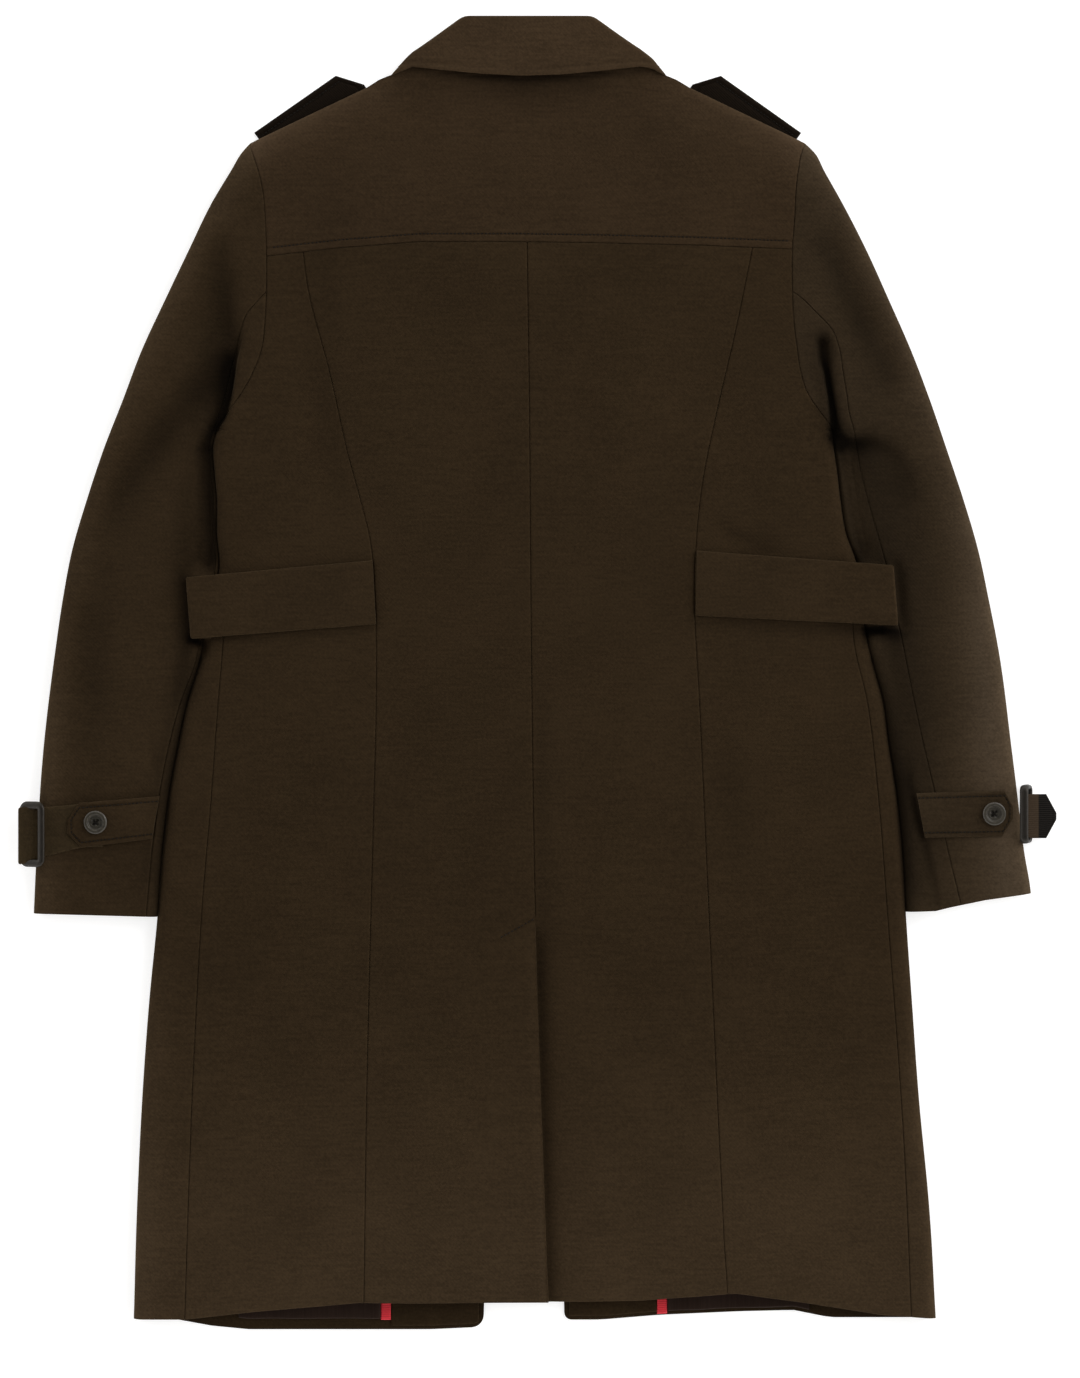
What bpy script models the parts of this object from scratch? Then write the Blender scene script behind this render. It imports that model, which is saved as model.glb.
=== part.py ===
"""A military overcoat laid flat on its front, with its back up.

The coat is drawn in plan: X runs across the back, Y towards the collar, Z up from the floor. Every seam
and edge is a line of stations, all lengths in millimetres. The back lies over the fronts like a flat
pillow: both layers meet at half height along the outline and part into a shallow hollow inside it.
"""
import math

import bmesh
import bpy
import numpy as np

MM = 0.001

# Cloth and the room between pieces
CLOTH = 2.0
GAP = 0.3
SEAM = 0.2            # each panel stops this far short of its seam line
STRAP_CLOTH = 1.8
BELT_CLOTH = 2.4
FACING_CLOTH = 1.5
LINING_CLOTH = 1.0
FOLD_REACH = 10.0     # width in plan of the rounded edge of the pillow
ROUND_STEPS = (math.pi / 2, math.pi / 4, 0.0)
FOLD_SHARE = 0.7      # most of a strip's width that its fold may take
WALL_SHARE = 0.5      # most of a fold's reach that its wall may take

# Lines of the coat: y station, x
SHOULDER_LEFT = ((503, -109), (498, -117), (493, -131), (488, -140), (440, -240))
SHOULDER_RIGHT = ((503, 90), (498, 99), (493, 112), (488, 122), (440, 221))
ARMHOLE_LEFT = ((440, -240), (432, -238), (417, -233), (400, -229), (380, -227), (352, -226), (316, -226),
                (293, -227), (268, -230), (249, -237), (231, -247), (216, -258), (201, -269))
ARMHOLE_RIGHT = ((440, 221), (432, 218), (417, 215), (400, 213), (380, 212), (352, 210), (316, 210),
                 (293, 211), (268, 214), (249, 217), (231, 223), (216, 233), (201, 245))
SLEEVE_OUT_LEFT = ((440, -240), (432, -247), (417, -256), (392, -271), (351, -291), (309, -311), (268, -330),
                   (226, -346), (185, -362), (143, -376), (102, -388), (60, -396), (19, -402), (-64, -412),
                   (-156, -418), (-200, -420))
SLEEVE_OUT_RIGHT = ((440, 221), (432, 229), (417, 237), (392, 251), (351, 272), (309, 291), (268, 309),
                    (226, 325), (185, 339), (143, 353), (102, 365), (60, 374), (19, 382), (-64, 393),
                    (-147, 403), (-200, 409))
BODY_LEFT = ((201, -268), (189, -271), (168, -270), (143, -268), (114, -268), (92, -266), (60, -271),
             (27, -279), (10, -282), (-23, -292), (-60, -300), (-98, -307), (-147, -313), (-200, -317),
             (-272, -324), (-355, -330), (-438, -334), (-529, -337))
BODY_RIGHT = ((201, 244), (189, 245), (168, 248), (143, 251), (114, 256), (92, 264), (60, 268), (27, 273),
              (10, 277), (-23, 286), (-60, 291), (-98, 297), (-147, 302), (-200, 305), (-272, 310),
              (-355, 316), (-438, 324), (-529, 330))
ELBOW_LEFT = ((316, -226), (309, -232), (299, -242), (284, -250), (268, -260), (249, -264), (231, -267),
              (216, -272), (201, -281), (168, -290), (143, -290), (114, -293), (92, -297), (60, -304),
              (27, -303), (10, -298), (-23, -307), (-60, -316), (-98, -322), (-147, -328), (-200, -332))
ELBOW_RIGHT = ((316, 210), (309, 219), (299, 229), (284, 243), (268, 249), (249, 252), (231, 255), (216, 257),
               (201, 261), (168, 267), (143, 273), (114, 281), (92, 287), (60, 294), (27, 301), (-23, 311),
               (-60, 319), (-98, 328), (-147, 339), (-200, 350))
FOREARM_LEFT = ((316, -226), (299, -250), (268, -283), (231, -312), (201, -331), (168, -343), (100, -363),
                (0, -379), (-100, -389), (-200, -395))
FOREARM_RIGHT = ((316, 210), (299, 234), (268, 266), (231, 293), (201, 309), (168, 320), (100, 340),
                 (0, 360), (-100, 372), (-200, 384))
BACK_SEAM_LEFT = ((357, -196), (317, -191), (251, -174), (176, -157), (143, -148), (110, -140), (60, -136),
                  (-23, -135), (-106, -137), (-355, -143), (-529, -145))
BACK_SEAM_RIGHT = ((357, 178), (284, 163), (210, 146), (160, 136), (102, 130), (60, 129), (-23, 133),
                   (-156, 139), (-355, 148), (-529, 156))
SIDE_SEAM_LEFT = ((201, -263), (168, -265), (143, -263), (93, -260), (60, -261), (27, -262), (-23, -266),
                  (-106, -272), (-189, -279), (-313, -286), (-529, -294))
SIDE_SEAM_RIGHT = ((201, 239), (168, 243), (143, 246), (93, 258), (60, 260), (27, 261), (-23, 272),
                   (-98, 281), (-200, 289), (-396, 303), (-529, 309))
CENTRE = ((357, -10), (226, -8), (93, -7), (-200, -3), (-529, 8))
FRONT_EDGE_LEFT = ((500, -19), (-529, -46))
FRONT_EDGE_RIGHT = ((500, 1), (-529, 21))
CORNER = 8.0          # rounding of the fronts' lower corners

# Points across each piece: even steps before a fold, or columns where there is none
FRONT_STEPS = 6
YOKE_STEPS = 4
SIDE_STEPS = 2
SLEEVE_STEPS = 2
TURN_STEPS = 1        # on the narrow strip between a seam and the edge that it turns round
TURNED = TURN_STEPS + len(ROUND_STEPS) - 1
BACK_COLUMNS = 4
SIDE_COLUMNS = 5
STRIP_COLUMNS = 4

# Edges that run across the coat: x station, y
YOKE_SEAM = ((-245, 343), (-226, 345), (-165, 352), (-99, 357), (-16, 357), (51, 356), (134, 354), (230, 350))
HEM_BACK = ((-340, -537), (-294, -537), (-232, -530), (-149, -522), (-99, -523), (8, -523), (84, -521),
            (163, -514), (217, -522), (283, -533), (335, -537))
HEM_FRONT = ((-340, -537), (-306, -538), (-273, -544), (-242, -547), (-90, -547), (-53, -544), (-46, -537),
             (21, -535), (28, -539), (51, -539), (100, -535), (167, -532), (212, -531), (242, -537),
             (335, -537))
CUFF_LEFT = ((-425, -200), (-315, -203))
CUFF_RIGHT = ((300, -199), (329, -198), (341, -195), (370, -189), (412, -183))
FALL_EDGE = ((-130, 500), (-105, 503), (-49, 497), (-16, 495), (17, 496), (51, 499), (96, 503), (115, 500))

# Rows of points, from neck to hem
NECK_ROWS = (503, 498, 493)
SHOULDER_ROWS = (488, 481, 471, 457, 444)
YOKE_ROWS = (437, 432, 417, 400, 380)
SEAM_ROW = 352
ARM_ROWS = (334, 316)
ELBOW_ROWS = (309, 299, 284, 268, 249, 231, 216, 205)
ARMPIT = 201
SIDE_ROWS = (189, 168, 143, 114, 92, 60, 27, 10, -23, -60, -98, -147, -184)
CUFF_ROW = -200
SKIRT_ROWS = (-216, -272, -355, -438, -496)
HEM_ROW = -529

# Inner edge of each sleeve, close beside the body's edge down to the cuff: y station, x
SLIT = 1.5
SLEEVE_IN_LEFT = tuple((y, x - SLIT) for y, x in BODY_LEFT if y >= CUFF_ROW)
SLEEVE_IN_RIGHT = tuple((y, x + SLIT) for y, x in BODY_RIGHT if y >= CUFF_ROW)

# Height of the laid coat over the floor: y station, height
HEIGHT = ((560, 11.7), (495, 11.7), (440, 15), (300, 17), (100, 15.5), (-200, 14.5), (-400, 14), (-550, 13.5))
LIFT = 3.2            # the shoulders ride this high over the straps under them
LIFT_REACH = (42.0, 80.0)

# Large folds of the back and sleeves: start x, y, end x, y, half width, depth (a ridge is negative)
FOLDS = ((-263, 385, -263, 284, 15, 3.0), (-261, 247, -310, 205, 14, 2.5), (-310, 205, -358, 154, 16, 2.0),
         (229, 396, 258, 313, 12, 3.0), (258, 313, 289, 247, 13, 3.5), (255, 195, 290, 188, 10, 3.5),
         (290, 188, 337, 133, 14, 2.5), (-280, 190, -279, 112, 8, 8.0), (256, 180, 268, 114, 7, 8.0),
         (-149, -300, -149, -545, 75, -6.0), (163, -330, 163, -545, 65, -7.0))

# Creases that run up from each armpit: y station, x
CREASE_LEFT = ((201, -269), (216, -262), (231, -257), (249, -254), (268, -251), (290, -246))
CREASE_RIGHT = ((201, 245), (216, 243), (231, 241), (249, 237), (268, 234), (282, 232))

# Back vent: the right panel runs on under the left one
VENT_LAP = 34.0
VENT_DROP = 2.7
VENT_EASE = 45.0
VENT_STATION = 15.0   # first full-height station of the right panel beside the vent

# Collar: plan lines of its sides and the height of its layers
COLLAR_ROWS = (545.0, 540.0, 528.0, 515.0)
COLLAR_LEFT = ((545, -64), (540, -71), (498, -127), (490, -137))
COLLAR_RIGHT = ((545, 46), (540, 53), (498, 110), (490, 120))
COLLAR_AXIS = -9.0
COLLAR_SEAT = 495.0   # row of the yoke whose height the collar lies on
COLLAR_OPEN = 8.0
COLLAR_REACH = 7.0
COLLAR_STEPS = 4
STAND_INSET = 2.6
STAND_EDGE = 503.8
FALL_SIDE = 500.5

# Half belts: corners at the shaped seam (top, bottom) and at the free end (top, bottom)
BELTS = {"left": ((-138, 93), (-135, 40), (-290, 79), (-286, 28)),
         "right": ((131, 101), (130, 47), (291, 89), (295, 39))}
BELT_TURN = 14.0      # length turned under at the free end
BELT_RISE = 2.9       # room for the turned end under the belt
BELT_STATIONS = (0, 0.2, 0.4, 0.6, 0.78, 0.9, 1.0)
BELT_LEAVES, BELT_RISES_OVER = 0.6, 0.3
BELT_ROUND = (math.pi / 4, 0, -math.pi / 4, -math.pi / 2)

# Cuff tabs: seam end (top, bottom), shoulder of the point (top, bottom), tip
TABS = {"left": ((-325, -104), (-327, -139), (-381, -108), (-379, -145), (-391, -128)),
        "right": ((313, -100), (320, -137), (386, -98), (384, -136), (393, -116))}
TAB_BEND = 0.4        # the tab climbs onto the strap by this share of its length
TAB_TIP_HALF = 5.0
BUTTONS = {"left": (-367, -124), "right": (377, -117)}
BUTTON_RADIUS = 9.5
BUTTON_HEIGHT = 3.4
# Button from its sunk middle, over the rim, to its foot: share of the radius, depth below the rim
BUTTON_PROFILE = ((0, 1.2), (0.62, 1.2), (0.74, 0), (0.92, 0), (1, 1), (0.9, BUTTON_HEIGHT),
                  (0, BUTTON_HEIGHT))

# Buckles: wire radius, x and z of the two long bars, y of the two ends
WIRE = 2.0
WIRE_CORNER = 1.5     # each corner is cut short by this many wire radii
WIRE_CORNER_SHARE = 0.4
BUCKLE_LEFT_INNER, BUCKLE_LEFT_OUTER = (-412.0, 20.6), (-428.0, 13.0)
BUCKLE_LEFT_ENDS = (-110.0, -158.0)
BUCKLE_RIGHT_LOW, BUCKLE_RIGHT_HIGH = (407.5, 2.2), (401.5, 19.0)
BUCKLE_RIGHT_ENDS = (-95.0, -140.0)

# Cuff straps: the left one turns round its buckle, the right one lies against the end of its buckle
STRAP_LEFT_FROM = -345.0
STRAP_LEFT_EDGES = (-112.5, -147.5)
STRAP_LEFT_COLUMNS = 5
STRAP_LEFT_STOP = 4.0     # the flat stretch stops this far short of the buckle's inner bar
STRAP_LEFT_TAIL = 5.0     # length turned back under the outer bar
STRAP_LEFT_ROUND = (90, 130, 180, 230, 270)
STRAP_RIGHT_EDGES = (-101.0, BUCKLE_RIGHT_ENDS[1] + WIRE + GAP)
STRAP_RIGHT_LEVEL = 8.0
# Right strap from the sleeve's edge to its point: x, share of the half width
STRAP_RIGHT_SHAPE = ((402.5, 1), (421.5, 1), (430, 0.15))

# Shoulder straps: middle of the sewn end, middle of the pointed end, half width, length of the point
STRAP_ENDS = {"left": ((-224.5, 431.5), (-156.5, 479.0)), "right": ((205.5, 431.5), (138.5, 479.0))}
STRAP_HALF = 22.5
STRAP_POINT = 15.0
STRAP_TIP_HALF = 3.0
SHOULDER_STRAP_CLOTH = 2.5

# Inside of the hem: facing, piping and lining, each side from the front edge outwards
INSIDE = {"left": (-50.0, -123.0, -132.0, -250.0), "right": (25.0, 98.0, 107.0, 225.0)}
INSIDE_TOP = -430.0
FACING_HEM = 3.0
PIPING_HEM = {"left": 8.0, "right": 1.0}
LINING_HEM = {"left": 9.0, "right": 3.0}


def along(line, at):
    """Value of a line at a station: a cubic through its points, straight where there are only two."""
    points = sorted(line)
    stations = np.array([p[0] for p in points], float)
    values = np.array([p[1] for p in points], float)
    slopes = np.gradient(values, stations)
    at = float(np.clip(at, stations[0], stations[-1]))
    k = int(np.clip(np.searchsorted(stations, at) - 1, 0, len(points) - 2))
    step = stations[k + 1] - stations[k]
    t = (at - stations[k]) / step
    rise = values[k + 1] - values[k]
    a = slopes[k] * step - rise
    b = rise - slopes[k + 1] * step
    return values[k] + rise * t + t * (1 - t) * (a * (1 - t) + b * t)


def straight(line, at):
    """Value of a line at a station, straight from point to point."""
    points = sorted(line)
    return float(np.interp(at, [p[0] for p in points], [p[1] for p in points]))


ALL_ROWS = (SHOULDER_ROWS + YOKE_ROWS + (SEAM_ROW,) + ARM_ROWS + ELBOW_ROWS + (ARMPIT,) + SIDE_ROWS
            + (CUFF_ROW,) + SKIRT_ROWS + (HEM_ROW,))


def drawn(line, rows, course=along):
    """Corners of a line where it meets the rows of points."""
    top, bottom = max(p[0] for p in line), min(p[0] for p in line)
    return [(course(line, y), y) for y in rows if bottom <= y <= top]


def chain(points):
    """Start, run and squared length of each straight piece of a drawn line."""
    p = np.array(points, float)
    run = p[1:] - p[:-1]
    return p[:-1], run, (run ** 2).sum(axis=1)


# The outline: straight down each shoulder to its tip, then down the sleeve, and round both sides of each slit
SHOULDER_TIP = SHOULDER_LEFT[-1][0]
SHOULDERS = [chain(drawn(line, SHOULDER_ROWS + (SHOULDER_TIP,), straight))
             for line in (SHOULDER_LEFT, SHOULDER_RIGHT)]
OUTLINE = SHOULDERS + [chain(drawn(line, (SHOULDER_TIP,) + YOKE_ROWS + ALL_ROWS[ALL_ROWS.index(SEAM_ROW):]))
                       for line in (SLEEVE_OUT_LEFT, SLEEVE_OUT_RIGHT, SLEEVE_IN_LEFT, SLEEVE_IN_RIGHT,
                                    BODY_LEFT, BODY_RIGHT)]


def distance(x, y, chains):
    """Shortest way in plan from a point to any of the drawn lines."""
    best = math.inf
    for start, run, squared in chains:
        offset = np.array((x, y)) - start
        t = np.clip((offset * run).sum(axis=1) / squared, 0, 1)
        best = min(best, float(np.sqrt(((offset - run * t[:, None]) ** 2).sum(axis=1).min())))
    return best


def ease(t):
    """Smooth step from 0 to 1."""
    t = min(max(t, 0.0), 1.0)
    return t * t * (3 - 2 * t)


def roundness(inside, reach):
    """Quarter of an ellipse: 0 at the outline, 1 once the point is a fold's reach inside it."""
    return math.sqrt(max(0.0, 1 - (1 - min(max(inside, 0.0), reach) / reach) ** 2))


def relief(x, y):
    """Rise of the large folds: each is a soft trough or ridge along a straight run."""
    total = 0.0
    for x0, y0, x1, y1, half_width, depth in FOLDS:
        along_run = ((x - x0) * (x1 - x0) + (y - y0) * (y1 - y0)) / ((x1 - x0) ** 2 + (y1 - y0) ** 2)
        t = min(max(along_run, 0.0), 1.0)
        away = math.hypot(x - x0 - t * (x1 - x0), y - y0 - t * (y1 - y0))
        strength = 1.0 if depth > 0 else ease(t)
        total -= depth * strength * math.exp(-(away / half_width) ** 2)
    return total


def crease(x, y):
    """How far the back sinks towards half height in the creases over the armpits, from 0 to 1."""
    deepest = 0.0
    for line in (CREASE_LEFT, CREASE_RIGHT):
        top = max(p[0] for p in line)
        if ARMPIT <= y < top:
            strength = 1 - ease((y - ARMPIT) / (top - ARMPIT))
            deepest = max(deepest, strength * (1 - roundness(abs(x - along(line, y)), FOLD_REACH)))
    return deepest


def plateau(x, y):
    """Height of the back's upper face, away from every edge."""
    return along(HEIGHT, y) + relief(x, y)


def middle(y):
    """Height where the two layers meet."""
    return along(HEIGHT, y) / 2


def top_layer(x, y, wall):
    """Height of the back's upper face (wall 0) or of the face a wall's thickness inside it."""
    inside = distance(x, y, OUTLINE)
    level = middle(y) + SEAM
    rise = max((plateau(x, y) - level) * (1 - crease(x, y)), CLOTH + GAP)
    return level + (rise - wall) * roundness(inside - wall, FOLD_REACH - wall)


def bottom_layer(x, y, wall):
    """Height of the fronts' lower face (wall 0) or of the face a wall's thickness inside it."""
    inside = distance(x, y, OUTLINE)
    near, far = LIFT_REACH
    lift = LIFT * (1 - ease((distance(x, y, SHOULDERS) - near) / (far - near)))
    level = middle(y) - SEAM
    fall = max((level - lift) * (1 - crease(x, y)), CLOTH + GAP)
    return level - (fall - wall) * roundness(inside - wall, FOLD_REACH - wall)


def half_row(inner, outer, count, reach=FOLD_REACH, folded=True):
    """Plan stations from a seam to an edge: even steps, then closer ones round the fold.

    Each station is the x of the outer face and the x of the inner face, which turns inside it.
    """
    side = 1 if outer > inner else -1
    reach = min(reach, FOLD_SHARE * abs(outer - inner))
    wall = min(CLOTH, WALL_SHARE * reach) if folded else 0.0
    flat = [(x, x) for x in np.linspace(inner, outer - side * reach, count + 1)[:-1]]
    turn = [(outer - side * reach * (1 - math.cos(a)),
             outer - side * (wall + (reach - wall) * (1 - math.cos(a)))) for a in ROUND_STEPS]
    return flat + turn


def on_layer(stations, y, layer):
    """Outer and inner points of one layer at one row."""
    return [((outer, y, layer(outer, y, 0)), (inner, y, layer(inner, y, CLOTH))) for outer, inner in stations]


def material(name, colour, roughness=0.9, metallic=0.0):
    """A plain finish in the piece's own colour."""
    finish = bpy.data.materials.new(name)
    finish.use_nodes = True
    shader = finish.node_tree.nodes["Principled BSDF"]
    shader.inputs["Base Color"].default_value = (*colour, 1)
    shader.inputs["Roughness"].default_value = roughness
    shader.inputs["Metallic"].default_value = metallic
    return finish


def add_object(name, mesh, finish):
    """Put a mesh into the coat's collection as one named piece."""
    piece = bpy.data.objects.new(name, mesh)
    mesh.materials.append(finish)
    COAT.objects.link(piece)
    return piece


def sewn_piece(name, rows, finish, keep=None):
    """A closed wall through rows of paired outer and inner points.

    A flat grid is extruded to a slab with one layer for each face, then every corner of the slab takes
    its place in the rows. Faces for which keep says no are left out, so that a piece can be L-shaped.
    """
    down, across = len(rows) - 1, len(rows[0]) - 1
    bm = bmesh.new()
    bmesh.ops.create_grid(bm, x_segments=across, y_segments=down, size=0.5)
    if keep:
        unwanted = [f for f in bm.faces if not keep(
            int((0.5 - f.calc_center_median().y) * down), int((f.calc_center_median().x + 0.5) * across))]
        bmesh.ops.delete(bm, geom=unwanted, context="FACES")
    inner_faces = list(bm.faces)
    raised = bmesh.ops.extrude_face_region(bm, geom=inner_faces, use_keep_orig=True)
    for vertex in raised["geom"]:
        if isinstance(vertex, bmesh.types.BMVert):
            vertex.co.z = 1
    for vertex in bm.verts:
        row = rows[round((0.5 - vertex.co.y) * down)]
        outer, inner = row[round((vertex.co.x + 0.5) * across)]
        vertex.co = [c * MM for c in (outer if vertex.co.z > 0.5 else inner)]
    bmesh.ops.recalc_face_normals(bm, faces=bm.faces)
    if bm.calc_volume(signed=True) < 0:
        bmesh.ops.reverse_faces(bm, faces=bm.faces)
    mesh = bpy.data.meshes.new(name)
    bm.to_mesh(mesh)
    bm.free()
    return add_object(name, mesh, finish)


def turned(name, profile, centre, finish, steps=24):
    """A solid of revolution about an upright axis: radius and height from top to bottom."""
    mesh = bpy.data.meshes.new(name)
    points = [(r * MM, 0, z * MM) for r, z in profile]
    mesh.from_pydata(points, [(k, k + 1) for k in range(len(points) - 1)], [])
    piece = add_object(name, mesh, finish)
    piece.location = [c * MM for c in centre]
    screw = piece.modifiers.new("turn", "SCREW")
    screw.steps = screw.render_steps = steps
    screw.use_merge_vertices = True
    screw.merge_threshold = 0.00005
    return piece


def wire_frame(name, corners, finish):
    """A closed frame of round wire through its corners, each of them cut short."""
    curve = bpy.data.curves.new(name, "CURVE")
    curve.dimensions = "3D"
    points = []
    for k, corner in enumerate(corners):
        here = np.array(corner)
        for other in (corners[k - 1], corners[(k + 1) % len(corners)]):
            way = np.array(other) - here
            points.append(here + way * min(WIRE_CORNER * WIRE / np.linalg.norm(way), WIRE_CORNER_SHARE))
    spline = curve.splines.new("POLY")
    spline.points.add(len(points) - 1)
    for slot, point in zip(spline.points, points):
        slot.co = (*(point * MM), 1)
    spline.use_cyclic_u = True
    curve.bevel_depth = WIRE * MM
    curve.bevel_resolution = 1
    curve.materials.append(finish)
    piece = bpy.data.objects.new(name, curve)
    COAT.objects.link(piece)
    return piece


def moved(row, hem):
    """A row whose points are shifted in y onto a line across the coat."""
    return [tuple((x, straight(hem, x), z) for x, _, z in pair) for pair in row]


SIDES = {
    "left": dict(sign=-1, shoulder=SHOULDER_LEFT, armhole=ARMHOLE_LEFT, out=SLEEVE_OUT_LEFT,
                 slit=SLEEVE_IN_LEFT, body=BODY_LEFT, elbow=ELBOW_LEFT, forearm=FOREARM_LEFT,
                 back=BACK_SEAM_LEFT, side=SIDE_SEAM_LEFT, edge=FRONT_EDGE_LEFT, cuff=CUFF_LEFT),
    "right": dict(sign=1, shoulder=SHOULDER_RIGHT, armhole=ARMHOLE_RIGHT, out=SLEEVE_OUT_RIGHT,
                  slit=SLEEVE_IN_RIGHT, body=BODY_RIGHT, elbow=ELBOW_RIGHT, forearm=FOREARM_RIGHT,
                  back=BACK_SEAM_RIGHT, side=SIDE_SEAM_RIGHT, edge=FRONT_EDGE_RIGHT, cuff=CUFF_RIGHT),
}
SHOULDER_DROP = SHOULDER_LEFT[3][0] - SHOULDER_LEFT[4][0]
SHOULDER_RUN = SHOULDER_LEFT[3][1] - SHOULDER_LEFT[4][1]
SHOULDER_REACH = FOLD_REACH / math.sin(math.atan2(SHOULDER_DROP, SHOULDER_RUN))


def make_yoke():
    """Across both shoulders, from the neck to the seam over the back panels."""
    rows = []
    for y in NECK_ROWS + SHOULDER_ROWS + YOKE_ROWS + (SEAM_ROW,):
        halves = []
        for name in ("left", "right"):
            line = SIDES[name]
            if y in YOKE_ROWS or y == SEAM_ROW:
                limit = along(line["armhole"], y) - line["sign"] * SEAM
            else:
                limit = straight(line["shoulder"], y)
            halves.append(half_row(COLLAR_AXIS, limit, YOKE_STEPS, SHOULDER_REACH, y in SHOULDER_ROWS))
        rows.append(on_layer(halves[0][:0:-1] + halves[1], y, top_layer))
    seam = [(x, y + SEAM) for x, y in YOKE_SEAM]
    rows[-1] = moved(rows[-1], seam)
    sewn_piece("yoke", rows, WOOL)


def make_backs(name):
    """Middle back panel and side back panel of one side."""
    line = SIDES[name]
    sign = line["sign"]
    seam = [(x, y - SEAM) for x, y in YOKE_SEAM]
    back_rows, side_rows = [], []
    for y in ALL_ROWS[ALL_ROWS.index(SEAM_ROW):]:
        centre = along(CENTRE, y) + sign * SEAM
        shaped = along(line["back"], y)
        lap = name == "right" and y < CUFF_ROW
        stations = np.linspace(centre, shaped - sign * SEAM, BACK_COLUMNS)
        if name == "right":
            lead = (-VENT_LAP, 0) if lap else (0, VENT_STATION / 3)
            rest = np.linspace(centre + VENT_STATION, shaped - SEAM, BACK_COLUMNS)
            stations = [centre + x for x in lead] + list(rest)
        row = on_layer([(x, x) for x in stations], y, top_layer)
        if name == "right" and y <= CUFF_ROW:
            row = [tuple((x, yy, z - VENT_DROP * (1 - ease((x - centre) / VENT_EASE))) for x, yy, z in pair)
                   for pair in row]
        back_rows.append(row)
        if y > ARMPIT:
            limit = along(line["armhole"], y) - sign * SEAM
            across = half_row(shaped + sign * SEAM, limit, SIDE_STEPS, folded=False)
        else:
            limit = along(line["side"], y) - sign * SEAM
            across = [(x, x) for x in np.linspace(shaped + sign * SEAM, limit, SIDE_COLUMNS)]
        side_rows.append(on_layer(across, y, top_layer))
    for rows in (back_rows, side_rows):
        rows[0] = moved(rows[0], seam)
        rows[-1] = moved(rows[-1], HEM_BACK)
    sewn_piece("back_" + name, back_rows, WOOL)
    sewn_piece("side_back_" + name, side_rows, WOOL)


def make_front(name):
    """Front panel: under the coat from its front edge, round the side fold, up to the side seam."""
    line = SIDES[name]
    sign = line["sign"]
    rows = []
    upper = SHOULDER_ROWS + YOKE_ROWS + (SEAM_ROW,) + ARM_ROWS + ELBOW_ROWS
    for y in ALL_ROWS:
        edge = along(line["edge"], y)
        start = edge + sign * CORNER
        if y in SHOULDER_ROWS:
            lower = half_row(start, straight(line["shoulder"], y), FRONT_STEPS, SHOULDER_REACH)
        elif y > ARMPIT:
            lower = half_row(start, along(line["armhole"], y) - sign * SEAM, FRONT_STEPS, folded=False)
        else:
            lower = half_row(start, along(line["body"], y), FRONT_STEPS)
        row = on_layer([(edge, edge)] + lower, y, bottom_layer)
        if y > ARMPIT:
            row += [row[-1]] * TURNED
        else:
            back = half_row(along(line["side"], y) + sign * SEAM, along(line["body"], y), TURN_STEPS)
            row += on_layer(back[-2::-1], y, top_layer)
        rows.append(row)
    turn = len(rows[0]) - 1 - TURNED
    rows[-1] = moved(rows[-1][:turn], HEM_FRONT) + moved(rows[-1][turn:], HEM_BACK)
    sewn_piece("front_" + name, rows, WOOL, lambda down, across: down >= len(upper) or across < turn)


def make_sleeve(name):
    """Upper and under sleeve of one side, joined by the elbow seam on top and the forearm seam below.

    The upper sleeve turns round the sleeve's outer edge, and the under sleeve round its inner edge. Above
    the armpit the under sleeve ends at the armhole, so that its two layers part there.
    """
    line = SIDES[name]
    sign = line["sign"]
    upper_rows, under_rows = [], []
    for y in YOKE_ROWS + (SEAM_ROW,) + ARM_ROWS + ELBOW_ROWS + (ARMPIT,) + SIDE_ROWS + (CUFF_ROW,):
        armhole = along(line["armhole"], y) + sign * SEAM
        out = along(line["out"], y)
        elbow, forearm = along(line["elbow"], y), along(line["forearm"], y)
        seamed = y <= ELBOW_ROWS[0]
        row = on_layer(half_row(elbow + sign * SEAM if seamed else armhole, out, SLEEVE_STEPS), y, top_layer)
        lower = half_row(forearm + sign * SEAM if seamed else armhole, out, SLEEVE_STEPS)
        upper_rows.append(row + on_layer(lower[-2::-1], y, bottom_layer))
        if not seamed:
            continue
        inner = armhole if y > ARMPIT else along(line["slit"], y)
        row = on_layer(half_row(elbow - sign * SEAM, inner, TURN_STEPS, folded=y <= ARMPIT), y, top_layer)
        if y > ARMPIT:
            lower = [(x, x) for x in np.linspace(inner, forearm - sign * SEAM, TURNED)]
        else:
            lower = half_row(forearm - sign * SEAM, inner, TURN_STEPS)[-2::-1]
        under_rows.append(row + on_layer(lower, y, bottom_layer))
    for rows in (upper_rows, under_rows):
        rows[-1] = moved(rows[-1], line["cuff"])
    sewn_piece("sleeve_upper_" + name, upper_rows, WOOL)
    sewn_piece("sleeve_under_" + name, under_rows, WOOL,
               lambda down, across: down >= len(ELBOW_ROWS) or across != TURNED)


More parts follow.
